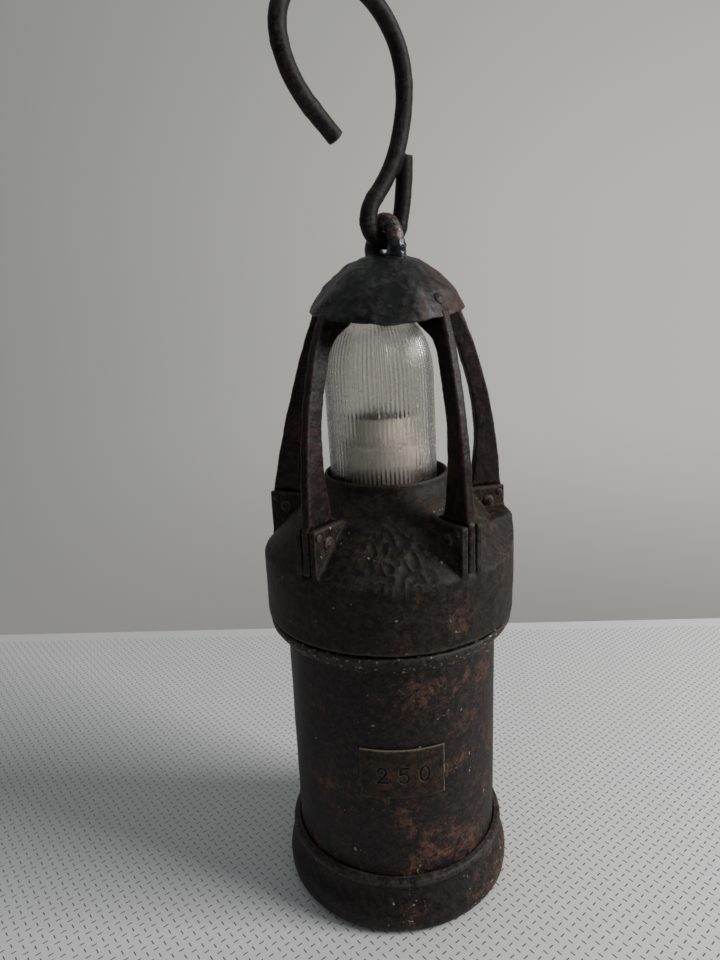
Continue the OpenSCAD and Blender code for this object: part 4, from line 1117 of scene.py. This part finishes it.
enamel_skin = mottled("white_enamel", srgb(222, 218, 212), srgb(200, 194, 186), 0.4, size=12)
brass_skin = mottled("dull_brass", srgb(148, 120, 66), srgb(104, 82, 46), 0.34, 0.9, size=4)
rubber_skin = mottled("black_rubber", srgb(30, 29, 28), srgb(46, 44, 42), 0.75, size=5, bump=0.4)
felt_skin = mottled("felt", srgb(128, 118, 100), srgb(104, 94, 78), 0.95, size=2, bump=0.8)
jar_skin = mottled("black_moulding", srgb(34, 31, 29), srgb(48, 44, 40), 0.42, size=14)
laminate_skin = mottled("brown_laminate", srgb(84, 54, 36), srgb(64, 40, 26), 0.5, size=5)
bright_skin = mottled("bright_steel", srgb(176, 176, 174), srgb(140, 140, 138), 0.3, 0.95, size=3)

LIGHT_SEAT, LIGHT_LEAN, HOLDER_WIDEN, HOLDER_WALL = 165.5 * MM, 0.038, 1.15, 1.5 * MM
HOLDER_TONE, HOLDER_SHADE, MOUTH_SHADE_TONE = srgb(222, 218, 212), srgb(202, 196, 188), srgb(14, 12, 11)
holder_low, holder_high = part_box("bulb_holder")
MOUTH_R = (holder_high.x - holder_low.x) / 2 * HOLDER_WIDEN - HOLDER_WALL
holder_skin, tree, shader, place = plain_finish("holder_white", HOLDER_TONE, 0.4)
x, y, z = parts_of(place)
x = x + (z - LIGHT_SEAT) * LIGHT_LEAN
# Painted shade in the holder's mouth: brown-black inside its rim.
mouth_shade = 1 - calc("SQRT", x * x + y * y).between(MOUTH_R - 0.3 * MM, MOUTH_R)
white = blend_of(tree, noise_at(place, 8 * MM, 4.0).between(0.3, 0.7), HOLDER_TONE, HOLDER_SHADE)
feed(shader, "Base Color", blend_of(tree, mouth_shade, white, MOUTH_SHADE_TONE))

bulb_skin, tree, shader, place = plain_finish("bulb_glass", (1, 1, 1, 1), 0.03)
shader.inputs["Transmission Weight"].default_value = 1.0
bulb_tone = blend_of(tree, noise_at(place, 5 * MM, 3.0), srgb(244, 244, 242), srgb(214, 210, 202))
feed(shader, "Base Color", bulb_tone)
print("nine inner finishes")

# %% [markdown]
# Inside the bell stands a white enamelled drum with the bulb's holder on top. The whole light leans with the
# bell, its foot staying on the contact disc, so its pieces are copies that are sheared by their height. The
# holder is also a little wider than its solid.


# %% The light
def lean_copy(name, node, widen):
    """A copy of a piece of the light that leans with the bell."""
    mesh = merged_mesh(node)
    for vert in mesh.vertices:
        vert.co.x = vert.co.x * widen - LIGHT_LEAN * (vert.co.z - LIGHT_SEAT)
        vert.co.y *= widen
    return add_object(name, mesh)


for name, node, skin, slot in (
        ("drum_shell", "light_drum", enamel_skin, "white_enamel"),
        ("holder_cup", "bulb_holder", holder_skin, "white_moulding"),
        ("socket_cup", "bulb_socket", brass_skin, "brass"),
        ("cap_thimble", "bulb_cap", brass_skin, "brass"),
        ("bulb", "bulb_envelope", bulb_skin, "bulb_glass"),
        ("wire_coil", "filament", bright_skin, "bright_steel")):
    piece = lean_copy(name, node, HOLDER_WIDEN if node == "bulb_holder" else 1.0)
    piece.data.materials.append(skin)
    dress(piece, "head", slot, node)

# %% [markdown]
# Everything else inside the lamp keeps its solid. These pieces show only when the lamp is taken apart, so
# they need a finish and no new shape, and their flat faces stay flat.


# %% Inner pieces
def give(skin, *names):
    """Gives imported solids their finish."""
    for name in names:
        mesh = nodes[name].data
        mesh.materials.clear()
        mesh.materials.append(skin)
        for face in mesh.polygons:
            face.use_smooth = False


give(brass_skin, "clamp_ring", "center_terminal", "side_terminal", "terminal_nuts", "disc_screws",
     "contact_bushes", "contact_pins")
give(rubber_skin, "base_pad", "head_gasket", "upper_glass_gasket", "lower_glass_gasket", "vent_plugs")
give(felt_skin, "top_cushion")
give(jar_skin, "battery_case", "battery_lid")
give(laminate_skin, "contact_disc")
give(bright_skin, "contact_springs", "lock_bolt", "lock_spring")
give(cast_skin, "crown_plate")
print("inner pieces finished")
